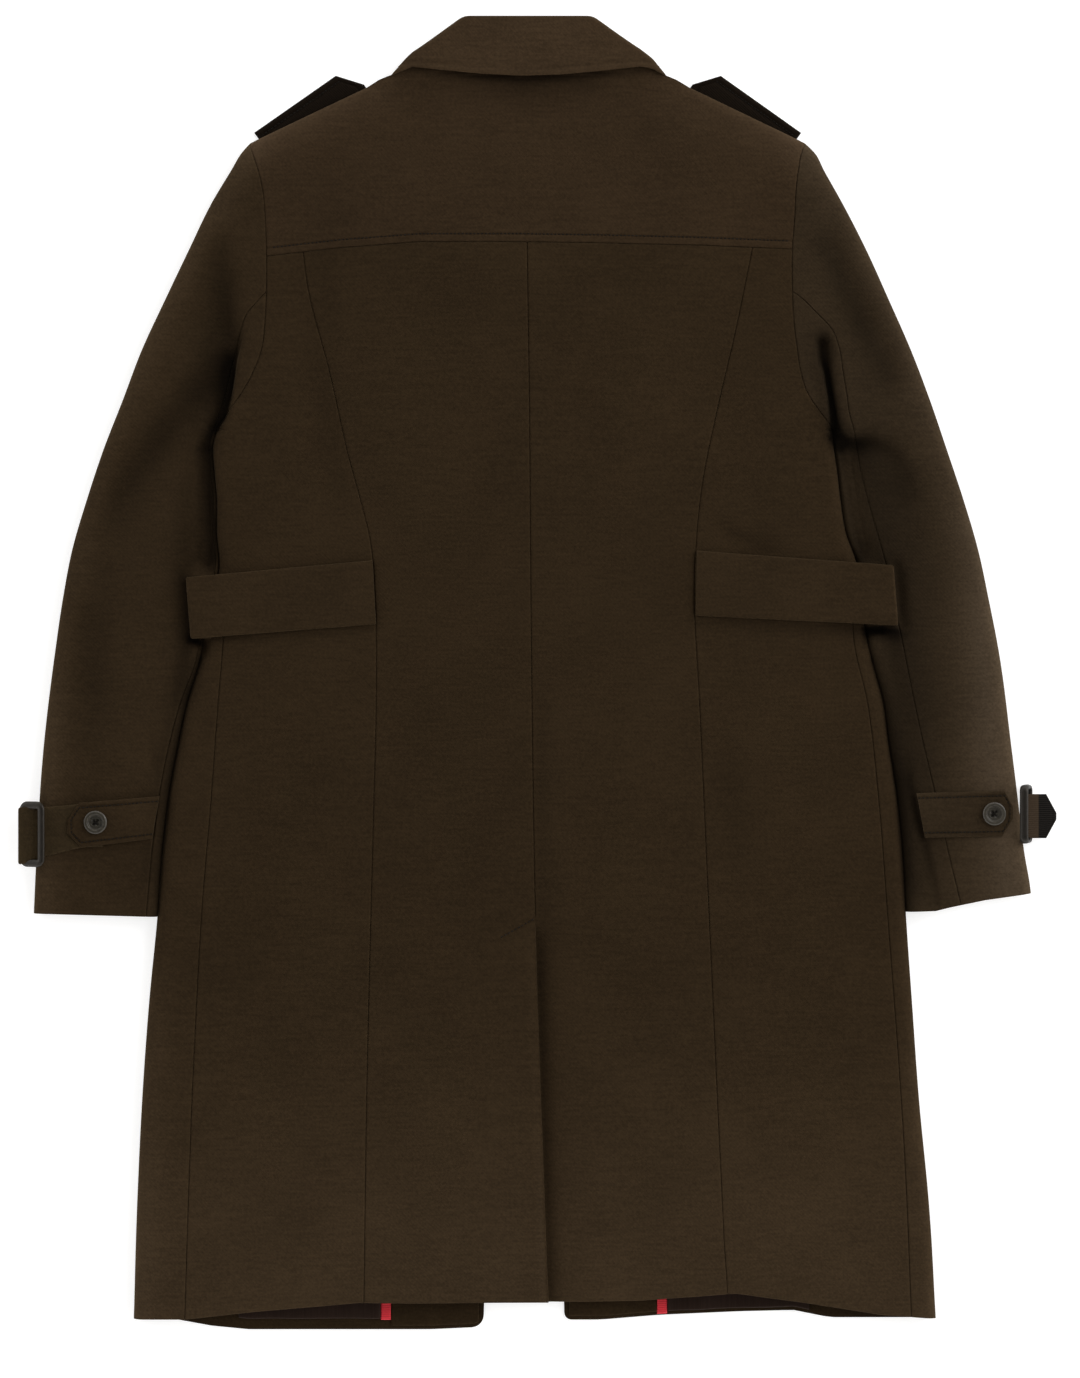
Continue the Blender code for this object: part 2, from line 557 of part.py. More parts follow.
def collar_loop(y, inset, low, high):
    """One row of a flat collar, from the open front on the left, over the back, to the front again."""
    loop = []
    level = (low + high) / 2
    for side, line in ((-1, COLLAR_LEFT), (1, COLLAR_RIGHT)):
        edge = along(line, y) - side * inset
        start = COLLAR_AXIS + side * COLLAR_OPEN
        half = []
        turns = (math.pi / 2,) * COLLAR_STEPS + ROUND_STEPS
        for turn, (outer, inner) in zip(turns, half_row(start, edge, COLLAR_STEPS, COLLAR_REACH)):
            rise = math.sin(turn)
            half.append(((outer, rise * (high - level)), (inner, rise * (high - level - CLOTH))))
        lower = [((o[0], y, level - o[1]), (i[0], y, level - i[1])) for o, i in half]
        upper = [((o[0], y, level + o[1]), (i[0], y, level + i[1])) for o, i in half[:-1]]
        loop.append(lower + upper[:0:-1])
    return loop[0] + loop[1][::-1]


def make_collar():
    """The fall over the yoke, and the stand inside it that the neck seam holds."""
    for name, edge, inset, clear in (("collar_fall", FALL_SIDE, 0.0, 0.0),
                                     ("collar_stand", STAND_EDGE, STAND_INSET, CLOTH + GAP)):
        rows = []
        for y in COLLAR_ROWS + (edge,):
            high = plateau(COLLAR_AXIS, COLLAR_SEAT) + GAP + CLOTH - clear
            rows.append(collar_loop(y, inset, clear, high))
        if name == "collar_fall":
            rows[-1] = moved(rows[-1], FALL_EDGE)
        sewn_piece(name, rows, WOOL)


def make_shoulder_strap(name):
    """Shoulder strap that lies on the floor under the shoulder, its outer half showing past it."""
    start, end = (np.array(p) for p in STRAP_ENDS[name])
    way = (end - start) / np.linalg.norm(end - start)
    across = np.array((-way[1], way[0]))
    rows = []
    for share, half in ((0, STRAP_HALF), (0.5, STRAP_HALF), (1, STRAP_HALF), (None, STRAP_TIP_HALF)):
        middle_point = end + way * STRAP_POINT if share is None else start + (end - start) * share
        row = []
        for side in (-1, 0, 1):
            x, y = middle_point + across * side * half
            row.append(((x, y, SHOULDER_STRAP_CLOTH), (x, y, 0)))
        rows.append(row)
    sewn_piece("epaulette_" + name, rows, STRAP_WOOL)


def make_belt(name):
    """Half belt from the shaped seam across the side of the back, turned under at its free end."""
    seam_top, seam_low, end_top, end_low = (np.array(p, float) for p in BELTS[name])
    sign = SIDES[name]["sign"]
    radius = BELT_CLOTH + GAP
    rows = []
    for share in (0, 0.5, 1):
        seam = seam_top + (seam_low - seam_top) * share
        end = end_top + (end_low - end_top) * share
        row = []
        for t in BELT_STATIONS:
            x, y = seam + (end - seam) * t
            base = plateau(x, y) + GAP + BELT_RISE * ease((t - BELT_LEAVES) / BELT_RISES_OVER)
            row.append(((x, y, base + BELT_CLOTH), (x, y, base)))
        x, y = end
        base = plateau(x, y) + GAP + BELT_RISE
        axis = base - GAP / 2
        for angle in BELT_ROUND:
            c, s = math.cos(angle), math.sin(angle)
            outer = (x + sign * radius * c, y, axis + (radius - GAP / 2) * s)
            inner = (x + sign * GAP / 2 * c, y, axis + GAP / 2 * s)
            row.append((outer, inner))
        back = x - sign * BELT_TURN
        row.append(((back, y, axis - radius + GAP / 2), (back, y, axis - GAP / 2)))
        rows.append(row)
    sewn_piece("belt_" + name, rows, WOOL)


def make_cuff(name):
    """Pointed tab with its button over the sleeve."""
    seam_top, seam_low, top, low, tip = (np.array(p, float) for p in TABS[name])
    base = STRAP_CLOTH + 2 * GAP if name == "left" else GAP
    rows = []
    bend_top = seam_top + (top - seam_top) * TAB_BEND
    bend_low = seam_low + (low - seam_low) * TAB_BEND
    blunt = np.array((0, TAB_TIP_HALF))
    for upper, lower, lift in ((seam_top, seam_low, GAP), (bend_top, bend_low, base), (top, low, base),
                               (tip + blunt, tip - blunt, base)):
        row = []
        for share in (0, 0.5, 1):
            x, y = upper + (lower - upper) * share
            z = plateau(x, y) + lift
            row.append(((x, y, z + STRAP_CLOTH), (x, y, z)))
        rows.append(row)
    sewn_piece("cuff_tab_" + name, rows, WOOL)
    x, y = BUTTONS[name]
    profile = [(share * BUTTON_RADIUS, BUTTON_HEIGHT - depth) for share, depth in BUTTON_PROFILE]
    turned("button_" + name, profile, (x, y, plateau(x, y) + base + STRAP_CLOTH + GAP), HORN)


def make_left_strap():
    """Cuff band: under the tab, under the buckle's inner bar and round its outer bar."""
    top, low = STRAP_LEFT_EDGES
    bar_x, bar_z = BUCKLE_LEFT_OUTER
    radii = (WIRE + GAP + STRAP_CLOTH, WIRE + GAP)
    end = bar_x + STRAP_LEFT_TAIL
    rows = []
    for y in (top, (top + low) / 2, low):
        level = plateau(STRAP_LEFT_FROM, y) + GAP
        flat = np.linspace(STRAP_LEFT_FROM, BUCKLE_LEFT_INNER[0] + STRAP_LEFT_STOP, STRAP_LEFT_COLUMNS)
        row = [((x, y, level + STRAP_CLOTH), (x, y, level)) for x in flat]
        for angle in STRAP_LEFT_ROUND:
            c, s = math.cos(math.radians(angle)), math.sin(math.radians(angle))
            row.append(tuple((bar_x + radius * c, y, bar_z + radius * s) for radius in radii))
        row.append(tuple((end, y, bar_z - radius) for radius in radii))
        rows.append(row)
    sewn_piece("cuff_strap_left", rows, WOOL)


def make_right_strap():
    """Pointed end of the cuff band, out through the buckle, with its lower edge against the frame's end."""
    top, low = STRAP_RIGHT_EDGES
    mid, half = (top + low) / 2, (top - low) / 2
    rows = []
    for x, share in STRAP_RIGHT_SHAPE:
        rows.append([((x, y, STRAP_RIGHT_LEVEL + STRAP_CLOTH), (x, y, STRAP_RIGHT_LEVEL))
                     for y in (mid + half * share, mid, mid - half * share)])
    sewn_piece("cuff_strap_right", rows, WOOL)


def make_buckles():
    """Frame that lies over the left cuff's edge, and frame that stands at the right cuff's edge."""
    top, low = BUCKLE_LEFT_ENDS
    (x0, z0), (x1, z1) = BUCKLE_LEFT_INNER, BUCKLE_LEFT_OUTER
    wire_frame("buckle_left", ((x0, top, z0), (x1, top, z1), (x1, low, z1), (x0, low, z0)), METAL)
    top, low = BUCKLE_RIGHT_ENDS
    (x0, z0), (x1, z1) = BUCKLE_RIGHT_LOW, BUCKLE_RIGHT_HIGH
    wire_frame("buckle_right", ((x0, top, z0), (x1, top, z1), (x1, low, z1), (x0, low, z0)), METAL)


def make_inside(name):
    """Facing, piping and lining that show inside the front hem, laid on the front panel."""
    front, piping_in, piping_out, side = INSIDE[name]
    sign = SIDES[name]["sign"]
    floor = CLOTH + GAP
    room = sign * GAP
    strips = (("facing_", front, piping_in, FACING_CLOTH, FACING_HEM, WOOL),
              ("piping_", piping_in + room, piping_out - room, FACING_CLOTH, PIPING_HEM[name], RED),
              ("lining_", piping_out, side, LINING_CLOTH, LINING_HEM[name], SATIN))
    for label, start, end, cloth, hem, finish in strips:
        rows = []
        for y in (INSIDE_TOP, (INSIDE_TOP + HEM_ROW) / 2, None):
            row = []
            for x in np.linspace(start, end, STRIP_COLUMNS):
                at = straight(HEM_FRONT, x) + hem if y is None else y
                row.append(((x, at, floor + cloth), (x, at, floor)))
            rows.append(row)
        sewn_piece(label + name, rows, finish)


for leftover in list(bpy.data.objects):
    bpy.data.objects.remove(leftover, do_unlink=True)
COAT = bpy.data.collections.new("overcoat")
bpy.context.scene.collection.children.link(COAT)

WOOL = material("brown wool cloth", (0.032, 0.021, 0.011))
STRAP_WOOL = material("dark strap wool", (0.011, 0.009, 0.006))
SATIN = material("dark satin lining", (0.024, 0.017, 0.015), 0.45)
RED = material("red piping", (0.45, 0.014, 0.024), 0.7)
HORN = material("dark horn", (0.05, 0.04, 0.03), 0.35)
METAL = material("blackened buckle metal", (0.02, 0.018, 0.015), 0.45, 0.6)

make_yoke()
make_collar()
for side_name in SIDES:
    make_backs(side_name)
    make_front(side_name)
    make_sleeve(side_name)
    make_shoulder_strap(side_name)
    make_belt(side_name)
    make_cuff(side_name)
    make_inside(side_name)
make_left_strap()
make_right_strap()
make_buckles()
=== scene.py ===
"""Looks of a brown wool military overcoat that lies flat with its back up."""
import math

import bpy
import numpy as np
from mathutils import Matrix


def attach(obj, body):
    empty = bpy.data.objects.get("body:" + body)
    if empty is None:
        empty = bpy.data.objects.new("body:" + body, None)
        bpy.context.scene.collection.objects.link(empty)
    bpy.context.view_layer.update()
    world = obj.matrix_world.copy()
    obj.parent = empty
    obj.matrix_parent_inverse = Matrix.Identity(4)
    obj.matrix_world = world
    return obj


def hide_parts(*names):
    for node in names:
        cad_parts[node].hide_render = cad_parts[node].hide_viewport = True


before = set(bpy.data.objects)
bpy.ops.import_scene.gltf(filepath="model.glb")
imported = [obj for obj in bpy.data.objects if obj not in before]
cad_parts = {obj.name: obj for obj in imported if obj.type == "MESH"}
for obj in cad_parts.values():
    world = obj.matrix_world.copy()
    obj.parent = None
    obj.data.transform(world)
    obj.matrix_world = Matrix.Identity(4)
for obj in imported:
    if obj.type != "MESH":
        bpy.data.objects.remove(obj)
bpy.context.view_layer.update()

# Studio
# A white light table under the laid coat, a light tent that is bright low down and dim overhead, and one
# large soft lamp at the right. The camera looks straight down on the coat.


def linear(code):
    """Linear colour of an sRGB hex value: each channel through the sRGB curve."""
    channel = np.array([int(code[k:k + 2], 16) for k in (1, 3, 5)]) / 255
    curve = np.where(channel <= 0.04045, channel / 12.92, ((channel + 0.055) / 1.055) ** 2.4)
    return (*curve, 1.0)


def add(tree, kind, options=(), inputs=()):
    """Add a shader node with its settings, and set or link each of its inputs."""
    node = tree.nodes.new(kind)
    for name, value in dict(options).items():
        setattr(node, name, value)
    for name, value in dict(inputs).items():
        if isinstance(value, bpy.types.NodeSocket):
            tree.links.new(value, node.inputs[name])
        else:
            node.inputs[name].default_value = value
    return node


def start_material(name, sockets):
    """A new material: its node tree, its shader with the constant sockets set, and Object coordinates."""
    material = bpy.data.materials.new(name)
    material.use_nodes = True
    tree = material.node_tree
    shader = tree.nodes["Principled BSDF"]
    for socket, value in sockets.items():
        shader.inputs[socket].default_value = value
    return material, tree, shader, add(tree, "ShaderNodeTexCoord").outputs["Object"]


FLOOR_HALF = 4.0
FLOOR_DROP = -0.0003
PAPER_CLOUD = 0.4     # metres, the slow change of the table's white
paper, paper_tree, paper_shader, paper_place = start_material(
    "matt white light table", {"Roughness": 0.9, "Specular IOR Level": 0.2, "Emission Strength": 0.7,
                               "Emission Color": linear("#ffffff")})
paper_grain = add(paper_tree, "ShaderNodeTexNoise", inputs={"Vector": paper_place, "Scale": 1 / PAPER_CLOUD})
paper_mix = add(paper_tree, "ShaderNodeMix", {"data_type": "RGBA"},
                {0: paper_grain.outputs["Fac"], 6: linear("#bababa"), 7: linear("#bebebe")})
paper_tree.links.new(paper_mix.outputs[2], paper_shader.inputs["Base Color"])
floor_mesh = bpy.data.meshes.new("studio_floor")
floor_mesh.from_pydata([(x * FLOOR_HALF, y * FLOOR_HALF, FLOOR_DROP)
                        for x, y in ((-1, -1), (1, -1), (1, 1), (-1, 1))], [], [(0, 1, 2, 3)])
floor_mesh.materials.append(paper)
floor = bpy.data.objects.new("studio_floor", floor_mesh)
bpy.context.scene.collection.objects.link(floor)

TENT_TOP, TENT_FOOT = 0.16, 4.0
tent = bpy.data.worlds.new("light tent")
tent.use_nodes = True
tent_way = add(tent.node_tree, "ShaderNodeTexCoord").outputs["Generated"]
tent_height = add(tent.node_tree, "ShaderNodeSeparateXYZ", inputs={"Vector": tent_way}).outputs["Z"]
tent_low = add(tent.node_tree, "ShaderNodeMapRange", inputs={
    "Value": tent_height, "From Min": 0.0, "From Max": 1.0, "To Min": 1.0, "To Max": 0.0}).outputs[0]
tent_square = add(tent.node_tree, "ShaderNodeMath", {"operation": "POWER"}, {0: tent_low, 1: 2.0}).outputs[0]
tent_light = add(tent.node_tree, "ShaderNodeMath", {"operation": "MULTIPLY_ADD"},
                 {0: tent_square, 1: TENT_FOOT, 2: TENT_TOP}).outputs[0]
tent_glow = tent.node_tree.nodes["Background"]
tent_glow.inputs["Color"].default_value = linear("#fffdfa")
tent.node_tree.links.new(tent_light, tent_glow.inputs["Strength"])
bpy.context.scene.world = tent

LAMP_POWER, LAMP_SIZE, LAMP_PLACE = 105, 3.0, (3.0, 1.7, 2.3)
lamp_data = bpy.data.lights.new("soft lamp", "AREA")
lamp_data.energy = LAMP_POWER
lamp_data.size = LAMP_SIZE
lamp = bpy.data.objects.new("soft_lamp", lamp_data)
lamp.location = LAMP_PLACE
lamp.rotation_euler = (-lamp.location).to_track_quat("-Z", "Y").to_euler()
bpy.context.scene.collection.objects.link(lamp)

LENS, SENSOR, CAMERA_PLACE = 85, 36, (0.00083, -0.0137, 2.7124)
camera_data = bpy.data.cameras.new("overhead")
camera_data.lens = LENS
camera_data.sensor_width = SENSOR
camera = bpy.data.objects.new("overhead", camera_data)
camera.location = CAMERA_PLACE
bpy.context.scene.collection.objects.link(camera)
bpy.context.scene.camera = camera
bpy.context.scene.view_settings.view_transform = "Standard"

# Yoke
# One wide panel of milled wool over both shoulders, felled along the shoulder seams and topstitched above
# the seam over the back. The shape of the whole laid coat is set up with it, in millimetres: the upper
# layer lies on the lower one like a flat pillow, and both meet at half height along the outline.
MM = 0.001
CLOTH = 2.0
GAP = 0.3
SEAM = 0.2            # each layer keeps this far from half height
SEWN = -0.01          # way from a seam line to each of its panels, which just reach past it
SLIT = -0.3           # way from the body's fold to the sleeve's, which just press together
FOLD_REACH = 10.0
EDGE_REACH = 60.0     # how far from an edge its rows bend onto the edge's own line
HEM_ROLL = (0.9, 1.8)  # depth and reach of the roll of a hem
NARROWEST = 0.7       # share of a narrow row that its edge steps may take
SIDE_BLEND = 5.0      # width over which a fold's two half widths pass into each other
NO_STEPS = np.zeros(1)
SEAM_STEPS = np.array((0, 0.3, 0.7, 1.2, 2.0, 3.2))
FOLD_STEPS = FOLD_REACH * (1 - np.cos(np.linspace(0, np.pi / 2, 10)))
FOLD_WALL = CLOTH + FOLD_STEPS * (FOLD_REACH - CLOTH) / FOLD_REACH
SEAM_ROW, ARMPIT, CUFF_ROW, HEM_ROW = 352.0, 201.0, -200.0, -529.0
SHOULDER_TOP, SHOULDER_TIP = 488.0, 440.0

# Lines of each side: y station, x
LINES = {
    "left": dict(
        sign=-1,
        neck=((503, -109), (498, -117), (493, -131), (488, -140), (440, -240)),
        armhole=((440, -240), (432, -238), (417, -233), (400, -229), (380, -227), (352, -226), (316, -226),
                 (293, -227), (268, -230), (249, -237), (231, -247), (216, -258), (201, -269)),
        out=((440, -240), (432, -247), (417, -256), (392, -271), (351, -291), (309, -311), (268, -330),
             (226, -346), (185, -362), (143, -376), (102, -388), (60, -396), (19, -402), (-64, -412),
             (-156, -418), (-200, -420)),
        body=((201, -268), (189, -271), (168, -270), (143, -268), (114, -268), (92, -266), (60, -271),
              (27, -279), (10, -282), (-23, -292), (-60, -300), (-98, -307), (-147, -313), (-200, -317),
              (-272, -324), (-355, -330), (-438, -334), (-529, -337)),
        elbow=((316, -226), (309, -232), (299, -241), (284, -247), (268, -251), (249, -256), (231, -260),
               (216, -265), (201, -271), (189, -273.5), (168, -272.5), (143, -270.5), (114, -270.5),
               (92, -268.7), (60, -273.5), (27, -281.5), (10, -285), (-23, -297), (-60, -307),
               (-98, -314.5), (-147, -321), (-200, -326)),
        forearm=((316, -226), (299, -250), (268, -283), (231, -312), (201, -331), (168, -343), (100, -363),
                 (0, -379), (-100, -389), (-200, -395)),
        back=((357, -196), (317, -191), (251, -174), (176, -157), (143, -148), (110, -140), (60, -136),
              (-23, -135), (-106, -137), (-355, -143), (-529, -145)),
        side=((201, -263), (168, -265), (143, -263), (93, -260), (60, -261), (27, -262), (-23, -266),
              (-106, -272), (-189, -279), (-313, -286), (-529, -294)),
        edge=((500, -19), (-529, -46)),
        cuff=((-425, -200), (-315, -203)),
    ),
    "right": dict(
        sign=1,
        neck=((503, 90), (498, 99), (493, 112), (488, 122), (440, 221)),
        armhole=((440, 221), (432, 218), (417, 215), (400, 213), (380, 212), (352, 210), (316, 210),
                 (293, 211), (268, 214), (249, 217), (231, 223), (216, 233), (201, 245)),
        out=((440, 221), (432, 229), (417, 237), (392, 251), (351, 272), (309, 291), (268, 309),
             (226, 325), (185, 339), (143, 353), (102, 365), (60, 374), (19, 382), (-64, 393),
             (-147, 403), (-200, 409)),
        body=((201, 244), (189, 245), (168, 248), (143, 251), (114, 256), (92, 264), (60, 268), (27, 273),
              (10, 277), (-23, 286), (-60, 291), (-98, 297), (-147, 302), (-200, 305), (-272, 310),
              (-355, 316), (-438, 324), (-529, 330)),
        elbow=((316, 210), (309, 219), (299, 229), (284, 243), (268, 249), (249, 252), (231, 255), (216, 257),
               (201, 261), (168, 267), (143, 273), (114, 281), (92, 287), (60, 294), (27, 301), (-23, 311),
               (-60, 319), (-98, 328), (-147, 339), (-200, 350)),
        forearm=((316, 210), (299, 234), (268, 266), (231, 293), (201, 309), (168, 320), (100, 340),
                 (0, 360), (-100, 372), (-200, 384)),
        back=((357, 178), (284, 163), (210, 146), (160, 136), (102, 130), (60, 129), (-23, 133),
              (-156, 139), (-355, 148), (-529, 156)),
        side=((201, 239), (168, 243), (143, 246), (93, 258), (60, 260), (27, 261), (-23, 272),
              (-98, 281), (-200, 289), (-396, 303), (-529, 309)),
        edge=((500, 1), (-529, 21)),
        cuff=((300, -199), (329, -198), (341, -195), (370, -189), (412, -183)),
    ),
}
YOKE_SEAM = ((-245, 343), (-226, 345), (-165, 352), (-99, 357), (-16, 357), (51, 356), (134, 354), (230, 350))
HEIGHT = ((560, 11.7), (495, 11.7), (440, 15), (300, 17), (100, 15.5), (-200, 14.5), (-400, 14), (-550, 13.5))
LIFT = 3.2            # rise of the fronts off the floor at the shoulders
LIFT_REACH = (42.0, 80.0)
UNEVEN = 0.3
WAVES = ((41, 1.2, 95), (63, 0.8, 70))     # across and down: wave length, sway, length of the sway
HEM_LIGHT, HEM_LIGHT_FROM, HEM_LIGHT_OVER = 0.6, -200.0, 380.0     # painted light: how much paler the cloth is drawn towards the hem
PAINTED_SHADING_LIMITS = (0.12, 2.4)
SHARP_ANGLE = 55
SLANT_BANDS, LEVEL_BANDS = 0.444, 0.314     # scale of a wave texture for one band a metre

for lines in LINES.values():
    lines["slit"] = tuple((y, x + lines["sign"] * SLIT) for y, x in lines["body"] if y >= CUFF_ROW)

# Swells that everything on the back lies over, and creases under it. Each is a path: x, y, depth, half width
# to the left of the path and half width to its right. A ridge has a negative depth.
SWELLS = {
    "left skirt": ((-149, -300, 0, 75, 75), (-149, -545, -6, 75, 75)),
    "right skirt": ((163, -330, 0, 65, 65), (163, -545, -7, 65, 65)),
}
CREASES = {
    "beside the left armhole": ((-258, 352, 0, 10, 12), (-261, 318, 4, 10, 14), (-259, 290, 5, 8, 17),
        (-256, 268, 0, 6, 14)),
    "left armpit": ((-246, 290, 0, 3, 10), (-248.6, 273, 4, 2.5, 14), (-252, 259, 6, 2.2, 16),
        (-254.5, 243, 7, 2.2, 18), (-257, 228, 7, 2.2, 16), (-261, 212, 7, 2.2, 14),
        (-268, 202, 7, 2.5, 10), (-272, 196, 0, 4, 8)),
    "left arm": ((-261, 259, 0, 16, 16), (-278, 240, 4, 16, 16), (-296, 224, 4.5, 16, 16),
        (-323, 182, 4.5, 16, 16), (-348, 157, 3.5, 16, 16), (-372, 120, 0, 16, 16)),
    "left slit": ((-273, 201, 0, 4, 6), (-277, 190, 7, 4.5, 8), (-276.5, 150, 8, 4.5, 9),
        (-275.5, 120, 8, 4.5, 11), (-275, 98, 8, 4.5, 14), (-277, 74, 0, 6, 14)),
    "left armpit mark": ((-268, 191, 1.5, 2, 2), (-262, 190, 1.5, 2, 2.5), (-256, 185, 0, 2, 2)),
    "under the left belt end": ((-290, 34, 0, 4, 4), (-284, 27, 6, 4, 4), (-277, 21, 5, 4, 4),
        (-280, 8, 0, 3, 3)),
    "left forearm": ((-367, 160, 0, 14, 14), (-369, 60, 1.6, 14, 14), (-372, -95, 0, 14, 14)),
    "above the left cuff": ((-326, -48, 0, 4, 4), (-321, -72, 1.2, 4, 4), (-315, -95, 0, 4, 4)),
    "right arm": ((240, 405, 0, 12, 12), (246, 365, 2.5, 12, 12), (250, 337, 3.5, 12, 13),
        (270, 298, 4.5, 12, 14), (288, 272, 3.5, 12, 14), (294, 246, 0, 12, 14)),
    "right armpit": ((235.5, 281, 0, 5, 5), (235.5, 275, 7, 6, 6), (236.5, 262, 8, 5.5, 5),
        (239, 248, 8, 3.5, 3), (242, 230, 8, 3, 3), (244, 216, 8, 3.5, 3), (244.5, 203, 8, 4, 3),
        (245, 192, 0, 4, 4)),
    "right drag": ((246, 195, 5, 3, 9), (260, 192, 5.5, 4, 11), (276, 192, 5, 5, 12),
        (287, 188, 4.5, 6, 13), (295, 181, 4, 7, 14), (302, 168, 3.5, 8, 15), (307, 148, 2.5, 10, 15),
        (310, 120, 1, 12, 16), (310, 92, 0, 12, 16)),
    "right slit": ((250, 194, 0, 6, 4), (253, 184, 7, 9, 4.5), (257, 160, 7.5, 9, 5), (262, 130, 7, 9, 5),
        (268, 105, 7, 8, 5), (273, 84, 0, 8, 6)),
    "beside the right belt end": ((294, 100, 0, 5, 4), (297, 80, 3, 6, 4), (300, 45, 3, 6, 4),
        (303, 25, 0, 5, 4)),
    "under the right belt end": ((293, 40, 0, 4, 4), (284, 35, 5, 4, 4), (272, 36, 5, 4, 4),
        (266, 38, 0, 4, 4)),
    "right cuff": ((300, -50, 0, 3, 6), (306, -80, 1.8, 3, 6), (314, -116, 2.0, 3, 6),
        (321, -142, 1.8, 3, 6), (331, -190, 1.2, 3, 6)),
    "right waist": ((140, 134, 0, 8, 8), (156, 117, 0.9, 8, 8), (172, 100, 0, 8, 8)),
    "right hip": ((180, 35, 0, 8, 8), (191, 6, 0.9, 8, 8), (204, -25, 0, 8, 8)),
    "right seat": ((131, 35, 0, 7, 7), (142, 8, 0.7, 7, 7), (153, -20, 0, 7, 7)),
}
